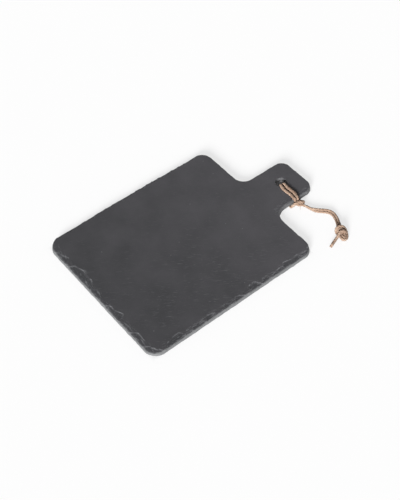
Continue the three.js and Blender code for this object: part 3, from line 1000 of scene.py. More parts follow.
@dataclass
class SlateBoard:
    """The slate: a split slab with a handle, flaked edges, trimmed sides and a drilled hole.

    Rings that follow the rim make its edge, from the underside over the wall to the face, and rings
    round the hole make the bore. The face and the underside between them are filled with triangles.
    """

    finish: bpy.types.Material
    pads: Sequence[tuple[float, float]]
    pad_radius: float = 8.0
    body_corner: float = 15.0
    front_far_corner: float = 17.0
    handle_corner: float = 13.0
    near_shoulder: float = 17.5
    far_shoulder: float = 14.5
    hole: tuple[float, float] = (124.0, 1.0)
    hole_radius: float = 7.0
    hole_sides: int = 72
    rim_step: float = 0.9
    fill_step: float = 3.2
    fill_wander: float = 0.25
    # How far the rings reach in from the rim, and where those of the face and the underside lie
    band: float = 10.5
    face_insets: Sequence[float] = (
        0.7, 1.1, 1.6, 2.1, 2.7, 3.3, 3.9, 4.5, 5.1, 5.7, 6.3, 7.0, 7.7, 8.4, 9.1, 9.8
    )
    under_insets: Sequence[float] = (6.0, 3.0, 1.5)
    # Depth and width of the eased arris, and the deepest that scars cut
    eased_depth: float = 0.5
    eased_width: float = 1.8
    deepest_cut: float = 2.4
    # Places along the far side, and how far it stands out there
    far_swell: Sequence[tuple[float, float]] = (
        (-140, 0), (-105, 0.2), (-50, 0.9), (5, 0.5), (52, -0.6), (80, 0)
    )
    # The slab's box, and what changes along its rim
    low: np.ndarray = field(init=False)
    high: np.ndarray = field(init=False)
    rim: Rim = field(init=False)
    near_side: np.ndarray = field(init=False)
    dressed: np.ndarray = field(init=False)
    dust_and_painted_light: np.ndarray = field(init=False)
    nick: np.ndarray = field(init=False)
    wander: np.ndarray = field(init=False)
    reaches: list[tuple[Scar, np.ndarray]] = field(init=False)

    def __post_init__(self) -> None:
        """Takes the slab's box from the frame and works out what changes along its rim."""
        self.low, self.high = (np.array(corner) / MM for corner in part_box("slate_board"))
        self.rim = self._rim()
        self.near_side = smooth_step(self.rim.inward[:, 1], 0.3, 0.8)
        # The face's edge is dressed off along the front and the near sides.
        self.dressed = smooth_step(self.rim.inward.max(axis=1), 0.5, 0.9)
        # Trimmed sides are dusty grey; the near side gets more of the pale colour than the front as
        # painted light, making up for the lamp lighting it less, and the handle gets half the share.
        self.dust_and_painted_light = (0.8 + 0.2 * self.near_side) * (1 - 0.5 * self._on_handle(14))
        self.nick = np.clip(value_noise(self.rim.points, 7.0, Seed.NICK), 0, 1) * 1.6
        self.wander = self._wander()
        scars = list(FRONT_SCARS + NEAR_SCARS)
        for index, run in enumerate(SCAR_RUNS):
            scars += run.scars(Seed.SCARS + index)
        self.reaches = [(scar, scar.reach(self.rim)) for scar in scars]

    def build(self) -> bpy.types.Object:
        """Builds the slab as one closed mesh and puts it in the CAD slab's place.

        Returns:
            The slab.
        """
        edge = RingStack(SLATE_SHARES)
        self._add_underside(edge)
        self._add_wall(edge)
        self._add_face(edge)
        hole = self._hole_rings(len(edge.points) * len(self.rim.points))
        places = np.vstack(edge.points + hole.points)
        faces = edge.faces() + [face[::-1] for face in hole.faces()]
        inner, triangles = self._triangles([edge.points[-1][:, :2], hole.points[0][:, :2]])
        fillings = (
            (edge.numbers(-1), hole.numbers(0), self.high[2] + split_relief(inner, Seed.FACE), 1),
            (edge.numbers(0), hole.numbers(-1), self.low[2] + self._underside_rise(inner), -1),
        )
        for outer, bore, heights, winding in fillings:
            numbers = np.concatenate([outer, bore, len(places) + np.arange(len(inner))])
            faces += [tuple(numbers[list(corner)][::winding]) for corner in triangles]
            places = np.vstack([places, np.column_stack([inner, heights])])
        blank = np.zeros(len(fillings) * len(inner))
        marks = {}
        for name in SLATE_SHARES:
            marks[name] = np.concatenate(edge.shares[name] + hole.shares[name] + [blank])
        board = make_piece("slate_slab", places, faces, self.finish, marks, sharp_angle=38)
        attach(board, Body.BOARD.value)
        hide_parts("slate_board")
        return board

    def _rim(self) -> Rim:
        """Walks the board's outline.

        Returns:
            The rim, with the small wander of its hand-cut sides left out.
        """
        shoulder_x = self.low[0] + BODY_LENGTH
        corners = (
            (self.low[0], self.low[1], self.body_corner),
            (shoulder_x, self.low[1], self.body_corner),
            (shoulder_x, HANDLE_NEAR_Y, self.near_shoulder),
            (self.high[0], HANDLE_NEAR_Y, self.handle_corner),
            (self.high[0], HANDLE_FAR_Y, self.handle_corner),
            (shoulder_x, HANDLE_FAR_Y, self.far_shoulder),
            (shoulder_x, self.high[1], self.body_corner),
            (self.low[0], self.high[1], self.front_far_corner),
        )
        return Rim.rounded(corners, self.rim_step)

    def _on_handle(self, ease: float) -> np.ndarray:
        """Tells which points of the rim lie on the handle, eased over a length past the shoulder."""
        shoulder_x = self.low[0] + BODY_LENGTH
        return smooth_step(self.rim.points[:, 0], shoulder_x, shoulder_x + ease)

    def _wander(self) -> np.ndarray:
        """Gives how far each point of the rim strays outward from the straight line.

        Returns:
            The stray in millimetres, with the far long side's slow swell included.
        """
        points, inward = self.rim.points, self.rim.inward
        swell = np.interp(points[:, 0], *zip(*self.far_swell))
        on_far_side = smooth_step(points[:, 1], self.high[1] - 4, self.high[1] - 0.5)
        on_near_side = (0.5 + 0.4 * self._on_handle(4)) * smooth_step(inward[:, 1], 0.5, 0.95)
        on_front = 0.3 * smooth_step(inward[:, 0], 0.5, 0.95)
        fine = 0.14 * value_noise(points, 9.0, Seed.SIDE_SLOW)
        fine += 0.13 * value_noise(points, 3.0, Seed.SIDE_FINE)
        return swell * on_far_side + on_near_side + on_front + fine

    def _scars(self, inset: float) -> tuple[np.ndarray, np.ndarray, np.ndarray]:
        """Works out how the scars cut one ring of the face.

        Args:
            inset: How far inside the rim the ring lies.

        Returns:
            The depth of the cut, the share of broken stone and the share of painted highlight along the
            rim.
        """
        points = self.rim.points
        wide = value_noise(points, 6.0, Seed.SCAR_WIDE)
        ragged = value_noise(points, 2.6, Seed.SCAR_RAGGED)
        ragged += 0.6 * value_noise(points, 1.1, Seed.SCAR_FINE)
        width = np.maximum(0.42 + 0.2 * ragged, 0.22)
        patchy = smooth_step(wide + 0.6 * ragged, -0.9, 0.25)
        depth, broken, bruised = np.zeros((3, len(points)))
        for scar, reach in self.reaches:
            inside = reach > 0.4
            jagged = (0.4 * wide + 0.3 * ragged) * np.clip(reach / 3, 0, 1)
            boundary = np.maximum(reach + jagged, 0.3)
            share = np.clip(1 - inset / boundary, 0, 1) * inside
            scarp = 0.3 * smooth_step(share, 0.0, 0.1) + 0.7 * share**1.4
            ripple = 0.05 * np.sin(share * 19 + 2 * wide) * share
            depth = np.maximum(depth, scar.depth * (scarp + ripple))
            broken = np.maximum(broken, 0.6 * smooth_step(share, 0.02, 0.3) * inside)
            # Painted highlight: a pale line along the scar's inner rim, where the flake's ridge catches
            # the light
            line = scar.bright * patchy * np.exp(-(((inset - boundary) / width) ** 2))
            bruised = np.maximum(bruised, line * (reach > 0.9))
        return depth, broken, bruised

    def _underside_rise(self, places: np.ndarray) -> np.ndarray:
        """Gives how far the split underside lies above its lowest plane, which the foot pads touch.

        Args:
            places: Points on the underside.

        Returns:
            Heights from 0 to about 0.3 mm.
        """
        rise = 0.2 + split_relief(places, Seed.UNDERSIDE)
        for pad in self.pads:
            gap = np.linalg.norm(places - np.array(pad), axis=1)
            rise = rise * smooth_step(gap, self.pad_radius + 0.5, self.pad_radius + 5)
        return np.clip(rise, 0, None)

    def _add_underside(self, rings: RingStack) -> None:
        """Adds the rings of the underside, from its inner one to its nicked arris.

        Args:
            rings: The rings of the slab's edge.
        """
        bottom = self.low[2]
        for inset in (self.band, *self.under_insets):
            rise = self._underside_rise(self.rim.inset(inset))
            rise += self.nick * 0.3 * smooth_step(3.0 - inset, 0, 3)
            fade = 1 - inset / self.band
            rings.add(self.rim.inset(inset - self.wander * fade), bottom + rise)
        arris = self.rim.inset(0.45 - self.wander + 0.4 * self.nick)
        rings.add(arris, bottom + 0.12 + 0.25 * self.nick, trimmed=0.6 * self.dust_and_painted_light)

    def _add_wall(self, rings: RingStack) -> None:
        """Adds the rings of the trimmed wall and of the arris above it.

        Args:
            rings: The rings of the slab's edge.
        """
        cut, broken, _ = self._scars(0.0)
        eased = self.eased_depth * self.dressed
        edge = self.high[2] - 0.12 - eased - np.minimum(cut, self.deepest_cut)
        foot = self.low[2] + 0.55 + 0.35 * self.nick
        for share in (0.0, 0.18, 0.36, 0.54, 0.72, 0.88):
            height = foot + (edge - foot) * share
            wall = np.column_stack([self.rim.points, height])
            rough = 0.2 * value_noise(wall * (1, 1, 2.2), 4.0, Seed.WALL_SLOW)
            rough += 0.12 * value_noise(wall, 1.5, Seed.WALL_FINE)
            rings.add(self.rim.inset(rough - self.wander), height, trimmed=self.dust_and_painted_light)
        rings.add(
            self.rim.inset(0.1 + 0.15 * self.dressed - self.wander),
            edge,
            broken=0.4 * broken * (1 - self.dressed),
            trimmed=(0.4 + 0.6 * self.dressed) * self.dust_and_painted_light,
        )

    def _add_face(self, rings: RingStack) -> None:
        """Adds the rings of the face, with the scars that flakes left in it.

        Args:
            rings: The rings of the slab's edge.
        """
        points = self.rim.points
        uneven = 0.3 * value_noise(points, 5.0, Seed.DUST_SLOW)
        uneven += 0.2 * value_noise(points, 1.8, Seed.DUST_FINE)
        dusted = 1.35 + (0.2 + 0.7 * self._on_handle(14)) * self.near_side + uneven
        sideways = smooth_step(self.rim.inward[:, 1], 0.5, 0.8)
        for inset in (*self.face_insets, self.band):
            cut, broken, bruised = self._scars(inset)
            relief = split_relief(self.rim.inset(inset), Seed.FACE)
            eased = self.eased_depth * max(0.0, 1 - inset / self.eased_width) * self.dressed
            chipped = self.dressed * (1 - smooth_step(inset, 0.35 * self.band, self.band))
            fade = 1 - inset / self.band
            rings.add(
                self.rim.inset(inset - self.wander * fade),
                self.high[2] + relief - eased - np.minimum(cut, self.deepest_cut),
                broken=broken,
                bruised=bruised,
                trimmed=0.9 * smooth_step(dusted - inset, 0, 0.7) * self.dressed * self.dust_and_painted_light,
                chipped_front=chipped * (1 - sideways),
                chipped_side=chipped * sideways,
            )

    def _hole_rings(self, first: int) -> RingStack:
        """Makes the rings of the drilled hole, from the face down to the underside.

        Args:
            first: The number of the first ring's first point.

        Returns:
            The rings.
        """
        angle = np.arange(self.hole_sides) * 2 * math.pi / self.hole_sides
        way = np.column_stack([np.cos(angle), np.sin(angle)])
        chip = np.clip(value_noise(way * 9, 4.0, Seed.HOLE_CHIP), 0, 1)
        bottom, top = self.low[2], self.high[2]
        rings = RingStack(SLATE_SHARES, first)

        def circle(wider: np.ndarray | float) -> np.ndarray:
            """Gives points round the hole, wider than its radius by a length."""
            return np.array(self.hole) + way * np.reshape(self.hole_radius + wider, (-1, 1))

        for wider in (4.0, 2.4, 1.3):
            ring = circle(wider)
            rings.add(ring, top + split_relief(ring, Seed.FACE))
        # The hole's chipped rim gets broken stone and a faint painted highlight
        rings.add(circle(0.2 + 0.4 * chip), top - 0.12 - 0.1 * chip, broken=0.5, bruised=0.1)
        worn = {"broken": 0.4, "bruised": 0.1, "trimmed": 0.1}
        rings.add(circle(0.05 + 0.2 * chip), top - 0.4 - 0.3 * chip, **worn)
        for share in (0.22, 0.4, 0.58, 0.76):
            height = top + (bottom - top) * share
            wall = np.column_stack([way * self.hole_radius, np.full(self.hole_sides, height)])
            drilled = 0.07 * value_noise(wall * (0.4, 0.4, 3), 1.2, Seed.HOLE_WALL)
            rings.add(circle(drilled), height, trimmed=0.3)
        rings.add(circle(0.5 + 0.9 * chip), bottom + 0.5, broken=0.3, trimmed=0.5)
        for wider in (1.6, 4.0):
            ring = circle(wider)
            rings.add(ring, bottom + self._underside_rise(ring))
        return rings

    def _triangles(self, loops: Sequence[np.ndarray]) -> tuple[np.ndarray, np.ndarray]:
        """Spreads points inside the first loop and outside the second, and joins all in triangles.

        Args:
            loops: The outer loop and the hole's loop.

        Returns:
            The new inner points, and triangles whose numbers count both loops and then those points.
        """
        chance = np.random.default_rng(Seed.SCARS)
        low, high = loops[0].min(axis=0), loops[0].max(axis=0)
        axes = [np.arange(low[axis], high[axis], self.fill_step) for axis in range(2)]
        grid = np.array(list(itertools.product(*axes)))
        grid += chance.uniform(-self.fill_wander, self.fill_wander, grid.shape) * self.fill_step
        border = np.vstack(loops)
        apart = np.array([np.min(np.linalg.norm(border - point, axis=1)) for point in grid])
        inner = grid[(apart > self.fill_step * 0.45) & self._between(grid, loops)]
        edges, start = [], 0
        for loop in loops:
            size = len(loop)
            edges += [(start + i, start + (i + 1) % size) for i in range(size)]
            start += size
        every = np.vstack([border, inner])
        drawn = delaunay_2d_cdt([Vector(point) for point in every], edges, [], 0, 1e-6)
        origin = [numbers[0] for numbers in drawn[3]]
        corners = np.array([[origin[i] for i in face] for face in drawn[2]])
        kept = corners[self._between(every[corners].mean(axis=1), loops)]
        a, b, c = (every[kept[:, i]] for i in range(3))
        turn = (b[:, 0] - a[:, 0]) * (c[:, 1] - a[:, 1]) - (b[:, 1] - a[:, 1]) * (c[:, 0] - a[:, 0])
        kept[turn < 0] = kept[turn < 0][:, ::-1]
        return inner, kept

    @staticmethod
    def _between(points: np.ndarray, loops: Sequence[np.ndarray]) -> np.ndarray:
        """Tells which points lie inside the first loop and outside the second.

        Args:
            points: The points.
            loops: The outer loop and the hole's loop.

        Returns:
            True for each point between the loops.
        """
        inside = []
        for loop in loops:
            crossed = np.zeros(len(points), bool)
            for (x0, y0), (x1, y1) in zip(loop, np.roll(loop, -1, axis=0)):
                spans = (y0 > points[:, 1]) != (y1 > points[:, 1])
                if spans.any():
                    crossing = x0 + (points[:, 1] - y0) * (x1 - x0) / (y1 - y0)
                    crossed ^= spans & (points[:, 0] < crossing)
            inside.append(crossed)
        return inside[0] & ~inside[1]


@dataclass
class FootPads:
    """The four foam rubber pads that the slate stands on."""

    finish: bpy.types.Material
    names: Sequence[str] = (
        "foot_pad_front_near",
        "foot_pad_front_far",
        "foot_pad_rear_near",
        "foot_pad_rear_far",
    )
    sides: int = 64
    bulge: float = 0.25
    # Shares of the radius and of the height at the rounded edge
    edge: Sequence[tuple[float, float]] = ((0.5, 0.0), (0.93, 0.0), (0.975, 0.06))
    side_share: float = 0.985

    def centres(self) -> list[tuple[float, float]]:
        """Gives the middle of each pad, from the frame."""
        boxes = [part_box(name) for name in self.names]
        return [((low[0] + high[0]) / 2 / MM, (low[1] + high[1]) / 2 / MM) for low, high in boxes]

    def build(self) -> list[bpy.types.Object]:
        """Builds each pad with the swollen side of foam under load.

        Returns:
            The pads.
        """
        return [self._pad(name) for name in self.names]

    def _pad(self, name: str) -> bpy.types.Object:
        """Builds one pad in its node's box.

        Args:
            name: The pad's node.

        Returns:
            The pad.
        """
        low, high = (np.array(corner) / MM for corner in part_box(name))
        centre = (low + high) / 2
        radius = (high[0] - low[0]) / 2
        tall = high[2] - low[2]
        angle = np.arange(self.sides) * 2 * math.pi / self.sides
        way = np.column_stack([np.cos(angle), np.sin(angle)])
        profile = list(self.edge)
        for share in np.linspace(0.15, 0.85, 5):
            swell = self.bulge * math.sin(math.pi * share) / radius
            profile.append((self.side_share + swell, share))
        profile += [(out, 1 - up) for out, up in reversed(self.edge)]
        rings = RingStack()
        for out, up in profile:
            rings.add(centre[:2] + way * radius * out, low[2] + tall * up)
        ends = np.array([[centre[0], centre[1], low[2]], [centre[0], centre[1], high[2]]])
        points = np.vstack(rings.points + [ends])
        below, above = len(points) - 2, len(points) - 1
        last = rings.numbers(-1)[0]
        faces = rings.faces()
        for i in range(self.sides):
            after = (i + 1) % self.sides
            faces += [(after, i, below), (last + i, last + after, above)]
        pad = make_piece(name + "_foam", points, faces, self.finish, sharp_angle=50)
        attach(pad, Body.BOARD.value)
        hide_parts(name)
        return pad


# The twine's route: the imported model's, moved by up to about 3 mm to where the photograph shows it

HOLE_X, HOLE_Y = 124.1, 1.2
EDGE_Y = HANDLE_NEAR_Y
TOP_Z = 7.55
UNDERSIDE_Z = 1.75
OVER_Z = 9.35
UNDER_Z = 0.8
LYING_Z = 1.65
EXIT = (124.25, -43.9)
HOLE_TURN = 3.0
THICK_IN_HOLE = 1.1
STRAND_HALF_GAP = 1.35
STACKED_Z = LYING_Z + 2 * STRAND_HALF_GAP

RoutePoint = tuple[float, float, float, float]
Place = tuple[float, float, float]


def turn_in_hole(
    place: tuple[float, float], over: tuple[float, float], under: tuple[float, float]
) -> list[RoutePoint]:
    """Leads a strand from the face down through the hole.

    Args:
        place: Where the strand stands in the hole.
        over: The way that it comes from on the face.
        under: The way that it leaves on the underside.

    Returns:
        The points of the turn, from the face down.
    """
    bend = HOLE_TURN * math.sqrt(0.5)
    near = HOLE_TURN - bend
    steps = (
        (over, HOLE_TURN, OVER_Z),
        (over, near, OVER_Z - near),
        (over, 0.0, OVER_Z - HOLE_TURN),
        (under, 0.0, UNDER_Z + HOLE_TURN),
        (under, near, UNDER_Z + near),
        (under, HOLE_TURN, UNDER_Z),
    )
    x, y = place
    return [(x + way[0] * out, y + way[1] * out, z, THICK_IN_HOLE) for way, out, z in steps]


def from_edge(*points: RoutePoint) -> list[RoutePoint]:
    """Places points that are given from the hole's line and the handle's near edge."""
    return [(HOLE_X + x, EDGE_Y + y, z, thick) for x, y, z, thick in points]


# Places, heights, and how thick the twine lies there against its usual diameter
HITCH_ROUTE = (
    [(EXIT[0] - 1.1, EXIT[1] + 1.7, STACKED_Z - 0.2, 1.0)]
    + from_edge(
        (-2.7, -10.9, STACKED_Z - 0.2, 1.0),
        (-4.3, -9.0, 3.8, 1.0),
        (-5.7, -6.9, 2.9, 1.0),
        (-6.7, -4.9, 2.8, 1.0),
        (-7.1, -3.4, 4.0, 1.05),
        (-7.2, -2.7, TOP_Z - 1.1, 1.1),
        (-7.0, -1.0, OVER_Z - 0.7, 1.3),
        (-6.6, 1.3, OVER_Z, 1.38),
        (-6.1, 4.8, OVER_Z, 1.38),
        (-5.9, 9.1, OVER_Z, 1.38),
        (-6.4, 13.7, OVER_Z, 1.38),
        (-6.5, 17.8, OVER_Z, 1.38),
        (-5.9, 22.6, OVER_Z, 1.38),
    )
    + turn_in_hole((HOLE_X - 3.9, HOLE_Y - 3.1), (-0.5, -0.87), (-0.36, -0.93))
    + from_edge(
        (-9.6, 11.5, UNDER_Z, 1.0),
        (-12.6, 2.5, UNDER_Z, 1.0),
        (-14.0, -1.6, UNDER_Z + 0.2, 1.0),
        (-14.3, -3.4, 2.6, 1.1),
        (-12.5, -4.6, 4.9, 1.25),
        (-9.5, -5.2, 6.5, 1.3),
        (-6.4, -5.9, 6.9, 1.35),
        (-3.9, -6.9, 6.9, 1.45),
        (-1.6, -7.9, 6.2, 1.55),
        (0.6, -7.8, 4.4, 1.55),
        (1.7, -5.4, 2.3, 1.35),
        (1.7, -2.6, UNDER_Z + 0.3, 1.1),
        (1.4, 2.5, UNDER_Z, 1.0),
        (0.7, 12.0, UNDER_Z, 1.0),
    )
    + turn_in_hole((HOLE_X - 0.3, HOLE_Y - 3.6), (-0.05, -1.0), (0.06, -1.0))[::-1]
    + from_edge(
        (-0.6, 22.4, OVER_Z, 1.35),
        (-0.8, 18.1, OVER_Z, 1.48),
        (-0.7, 13.6, OVER_Z, 1.48),
        (-0.5, 8.8, OVER_Z, 1.48),
        (-1.1, 4.6, OVER_Z, 1.48),
        (-2.2, 1.0, OVER_Z - 0.1, 1.4),
        (-3.1, -1.6, OVER_Z - 1.5, 1.2),
        (-3.5, -3.1, TOP_Z - 2.8, 1.05),
        (-3.0, -4.9, 2.2, 1.0),
        (-2.0, -7.4, LYING_Z, 1.0),
        (-0.9, -10.0, LYING_Z, 1.0),
    )
    + [(EXIT[0] - 0.1, EXIT[1] + 1.7, LYING_Z + 0.1, 1.0)]
)
# Offsets from the exit, the height of the middle line and how far the pair of strands is turned
TAIL_ROUTE = (
    (0.0, -0.4, LYING_Z + 1.2, 118),
    (1.6, -6.2, LYING_Z + 1.2, 112),
    (4.6, -11.5, LYING_Z + 1.2, 72),
    (9.2, -16.2, LYING_Z + 0.8, 38),
    (13.6, -20.6, LYING_Z + 0.7, 30),
    (16.1, -25.0, LYING_Z + 0.7, 30),
    (16.4, -29.8, LYING_Z + 0.7, 30),
    (14.6, -35.9, LYING_Z + 0.9, 30),
    (11.4, -41.4, LYING_Z + 2.1, 25),
    (7.9, -46.6, LYING_Z + 3.7, 10),
)
BEND_POINT = 5
KNOT_MIDDLE = (EXIT[0] + 1.75, EXIT[1] - 55.9)
KNOT_HEADING = 57.4
# Along the knot, across it and the height: the tail runs down the middle, turns back and winds round
KNOT_ROUTE = (
    (6.0, 0.4, 5.5),
    (1.8, 0.3, 6.7),
    (-2.0, 0.2, 4.0),
    (-5.6, -0.3, 4.0),
    (-8.0, -2.0, 3.4),
    (-7.0, -4.9, 3.1),
    (-2.8, -5.9, 3.8),
    (2.2, -5.4, 5.4),
    (4.7, -3.4, 7.5),
    (5.1, 0.0, 8.2),
    (4.3, 2.6, 7.0),
    (3.2, 3.5, 4.4),
    (1.6, 2.5, 2.1),
    (0.4, 0.0, 1.6),
    (-0.3, -2.7, 2.6),
    (-0.2, -3.6, 5.2),
    (-0.2, -1.9, 7.5),
    (-1.3, 0.9, 7.7),
    (-4.4, 3.6, 5.6),
    (-7.4, 6.5, 3.2),
    (-11.5, 10.2, 1.7),
    (-16.8, 14.4, 1.5),
)
FIBRE_SIDES = 3
FIBRE_TAPER = 0.75
# One loose fibre hangs from the hitch to the table
STRAY_FIBRE = (
    (120.5, -37.6, 3.6),
    (119.4, -38.7, 2.3),
    (118.3, -39.5, 1.3),
    (117.4, -40.6, 0.6),
    (116.6, -41.9, 0.3),
)


@dataclass
class HangingTwine:
    """One length of jute twine, doubled, hitched through the hole and tied in a knot.

    It is drawn as one line from end to end and cut where its stretches part ways when it moves, so
    that the yarns run on across each cut.
    """

    finish: bpy.types.Material
    diameter: float = 3.0
    yarns: int = 3
    sides_per_yarn: int = 8
    groove: float = 0.2
    lay: float = 9.5
    step: float = 0.55
    hitch_steps: int = 12
    tail_steps: int = 10
    knot_thickness: float = 1.18
    # The twine is cut this far before the exit and the bend
    into_hitch: float = 5.0
    before_bend: float = 4.5
    exit_blend: float = 2.2
    bend_blend: float = 2.0
    fuzz_per_mm: float = 2.2
    fibre_bow: float = 0.7
    fibre_length: tuple[float, float] = (1.2, 3.8)
    fibre_stand: tuple[float, float] = (0.15, 0.75)
    fibre_radius: tuple[float, float] = (0.035, 0.07)
    past_cut: float = 1.6
    stray_radius: float = 0.45
    # Where along and around a yarn the loose fibres take their shade from
    fibre_mark: float = 4.0
    # Least height over the table, room under the handle and how much is flattened on its face
    table_gap: float = 0.08
    under_room: float = 1.6
    flattened: float = 0.28
    # Under the handle the twine rises into the hole between these distances from its middle
    hole_reach: float = 6.7
    hole_ease: float = 8.5
    line: np.ndarray = field(init=False)
    along: np.ndarray = field(init=False)
    frames: tuple[np.ndarray, np.ndarray, np.ndarray] = field(init=False)
    thickness: np.ndarray = field(init=False)
    cuts: dict[str, tuple[int, int]] = field(init=False)

    def __post_init__(self) -> None:
        """Draws the whole line and finds its cuts."""
        leg_a, thick_a, bend_a = self._leg(Strand.A)
        leg_b, thick_b, bend_b = self._leg(Strand.B)
        hitch = even_line(smooth_line(HITCH_ROUTE, self.hitch_steps), self.step)[1:-1]
        self.line = np.vstack([leg_a[::-1], hitch[:, :3], leg_b])
        self.along = length_along(self.line)
        self.frames = carried_frames(self.line)
        self.thickness = np.concatenate([thick_a[::-1], hitch[:, 3], thick_b])
        inner = round(self.into_hitch / self.step)
        ahead = round(self.before_bend / self.step)
        last_a, first_b = len(leg_a) - 1, len(leg_a) + len(hitch)
        exit_a, exit_b = last_a + inner, first_b - inner
        turn_a, turn_b = last_a - bend_a + ahead, first_b + bend_b - ahead
        self.cuts = {
            "far_a": (0, turn_a),
            "near_a": (turn_a, exit_a),
            "hitch": (exit_a, exit_b),
            "near_b": (exit_b, turn_b),
            "far_b": (turn_b, len(self.line) - 1),
        }

    def _leg(self, strand: Strand) -> tuple[np.ndarray, np.ndarray, int]:
        """Draws one strand from the hitch's exit through the knot to its end.

        Args:
            strand: Which of the two.

        Returns:
            The line's points, how thick the twine is at each, and the number of the bend's point.
        """
        tail = [(EXIT[0] + x, EXIT[1] + y, z) for x, y, z, _ in TAIL_ROUTE]
        knot = [self._in_knot(point) for point in KNOT_ROUTE]
        middle = smooth_line(tail + knot, self.tail_steps)
        order = np.arange(len(middle)) / self.tail_steps
        turns = [turn for *_, turn in TAIL_ROUTE] + [0] * len(knot)
        turn = np.radians(np.interp(order, np.arange(len(turns)), turns))[:, None]
        tied = smooth_step(order, len(tail) - 2, len(tail))
        _, rightward, downward = carried_frames(middle)
        shift = -rightward * np.cos(turn) - downward * np.sin(turn)
        strand_line = middle + shift * strand.value * STRAND_HALF_GAP
        thickness = 1 + (self.knot_thickness - 1) * tied
        shorter = 0 if strand is Strand.A else self.tail_steps // 4
        kept = len(middle) - shorter
        bundle = even_line(np.column_stack([strand_line, thickness, order])[:kept], self.step)
        bend = int(np.argmin(np.abs(bundle[:, 4] - BEND_POINT)))
        return bundle[:, :3], bundle[:, 3], bend

    @staticmethod
    def _in_knot(point: Place) -> Place:
        """Places a point that is given along and across the knot's middle and by its height."""
        along, across, height = point
        turn = math.radians(KNOT_HEADING)
        x = KNOT_MIDDLE[0] + along * math.cos(turn) - across * math.sin(turn)
        y = KNOT_MIDDLE[1] + along * math.sin(turn) + across * math.cos(turn)
        return x, y, height

    def build(self) -> list[bpy.types.Object]:
        """Builds the hitch and the four free stretches.

        Returns:
            The pieces.
        """
        hitch = self._stretch("twine_hitch_yarns", "hitch")
        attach(hitch, Body.BOARD.value)
        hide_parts("twine_hitch")
        pieces = [hitch]
        for strand in Strand:
            letter = strand.name.lower()
            pieces.append(self._near(letter))
            pieces.append(self._far(letter))
        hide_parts("twine_knot")
        return pieces

    def _near(self, letter: str) -> bpy.types.Object:
        """Builds the stretch of one strand between the hitch and the bend.

        Args:
            letter: The strand's letter.

        Returns:
            The stretch.
        """
        piece = self._stretch(f"twine_near_yarns_{letter}", f"near_{letter}")
        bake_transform(piece)
        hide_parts(f"twine_tail_near_{letter}")
        return piece

    def _far(self, letter: str) -> bpy.types.Object:
        """Builds the stretch of one strand from the bend through the knot to its cut end.

        Args:
            letter: The strand's letter.

        Returns:
            The stretch.
        """
        piece = self._stretch(f"twine_far_yarns_{letter}", f"far_{letter}")
        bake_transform(piece)
        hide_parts(f"twine_tail_far_{letter}", f"twine_end_{letter}")
        return piece

    def _stretch(self, name: str, cut: str) -> bpy.types.Object:
        """Builds one stretch of the twine, its yarns laid round each other, with loose fibres.

        Args:
            name: The piece's name.
            cut: The stretch.

        Returns:
            The piece.
        """
        first, last = self.cuts[cut]
        chosen = slice(first, last + 1)
        _, cross, other = (vectors[chosen] for vectors in self.frames)
        along = self.along[chosen]
        swell = 1 + 0.05 * value_noise(along[:, None], 5.0, Seed.TWINE_SWELL)
        radius = self.diameter / 2 * self.thickness[chosen] * swell
        sides = self.yarns * self.sides_per_yarn
        points, along_mm, around_mm = [], [], []
        for side in range(sides):
            angle = 2 * math.pi * (along / self.lay + side / sides)
            crown = abs(math.cos(math.pi * side / self.sides_per_yarn))
            ray = cross * np.cos(angle)[:, None] + other * np.sin(angle)[:, None]
            reach = radius * (1 - self.groove * (1 - crown))
            points.append(self.line[chosen] + ray * reach[:, None])
            along_mm.append(along)
            around_mm.append(np.full(len(along), side / sides * math.pi * self.diameter))
        faces = self._tube_faces(sides, len(along))
        places = self._press(np.vstack(points))
        marks = {"along_mm": np.concatenate(along_mm), "around_mm": np.concatenate(around_mm)}
        fuzz, fuzz_faces = self._fuzz(cut, len(places))
        shade = np.full(len(fuzz), self.fibre_mark)
        marks = {share: np.concatenate([values, shade]) for share, values in marks.items()}
        places = np.vstack([places, fuzz])
        faces += fuzz_faces
        return make_piece(name, places, faces, self.finish, marks, sharp_angle=80)

    @staticmethod
    def _tube_faces(sides: int, count: int) -> Faces:
        """Joins lengthwise rows of points into a closed tube.

        Args:
            sides: The number of rows.
            count: The number of points in a row.

        Returns:
            The faces, both end caps included.
        """
        faces: Faces = []
        for side in range(sides):
            here, there = side * count, (side + 1) % sides * count
            faces += [(here + i, there + i, there + i + 1, here + i + 1) for i in range(count - 1)]
        starts = [side * count for side in range(sides)]
        faces.append(tuple(reversed(starts)))
        faces.append(tuple(start + count - 1 for start in starts))
        return faces

    def _press(self, places: np.ndarray) -> np.ndarray:
        """Keeps the twine above the table and flattens it under the handle and over its face.

        Args:
            places: The yarns' points.

        Returns:
            The pressed points.
        """
        x, y, z = places.T.copy()
        z = np.maximum(z, self.table_gap)
        from_hole = np.hypot(x - HOLE_X, y - HOLE_Y)
        below_middle = z < (TOP_Z + UNDERSIDE_Z) / 2
        under = below_middle & (y > EDGE_Y - 0.3) & (from_hole > self.hole_reach)
        ceiling = self.under_room + np.maximum(0, self.hole_ease - from_hole)
        z = np.where(under, np.minimum(z, ceiling), z)
        spread = smooth_step(y, EDGE_Y - 1.0, EDGE_Y + 3.0) * smooth_step(from_hole, 5.0, 9.0)
        above = np.maximum(0, z - TOP_Z)
        z -= above * self.flattened * spread
        return np.column_stack([x, y, z])

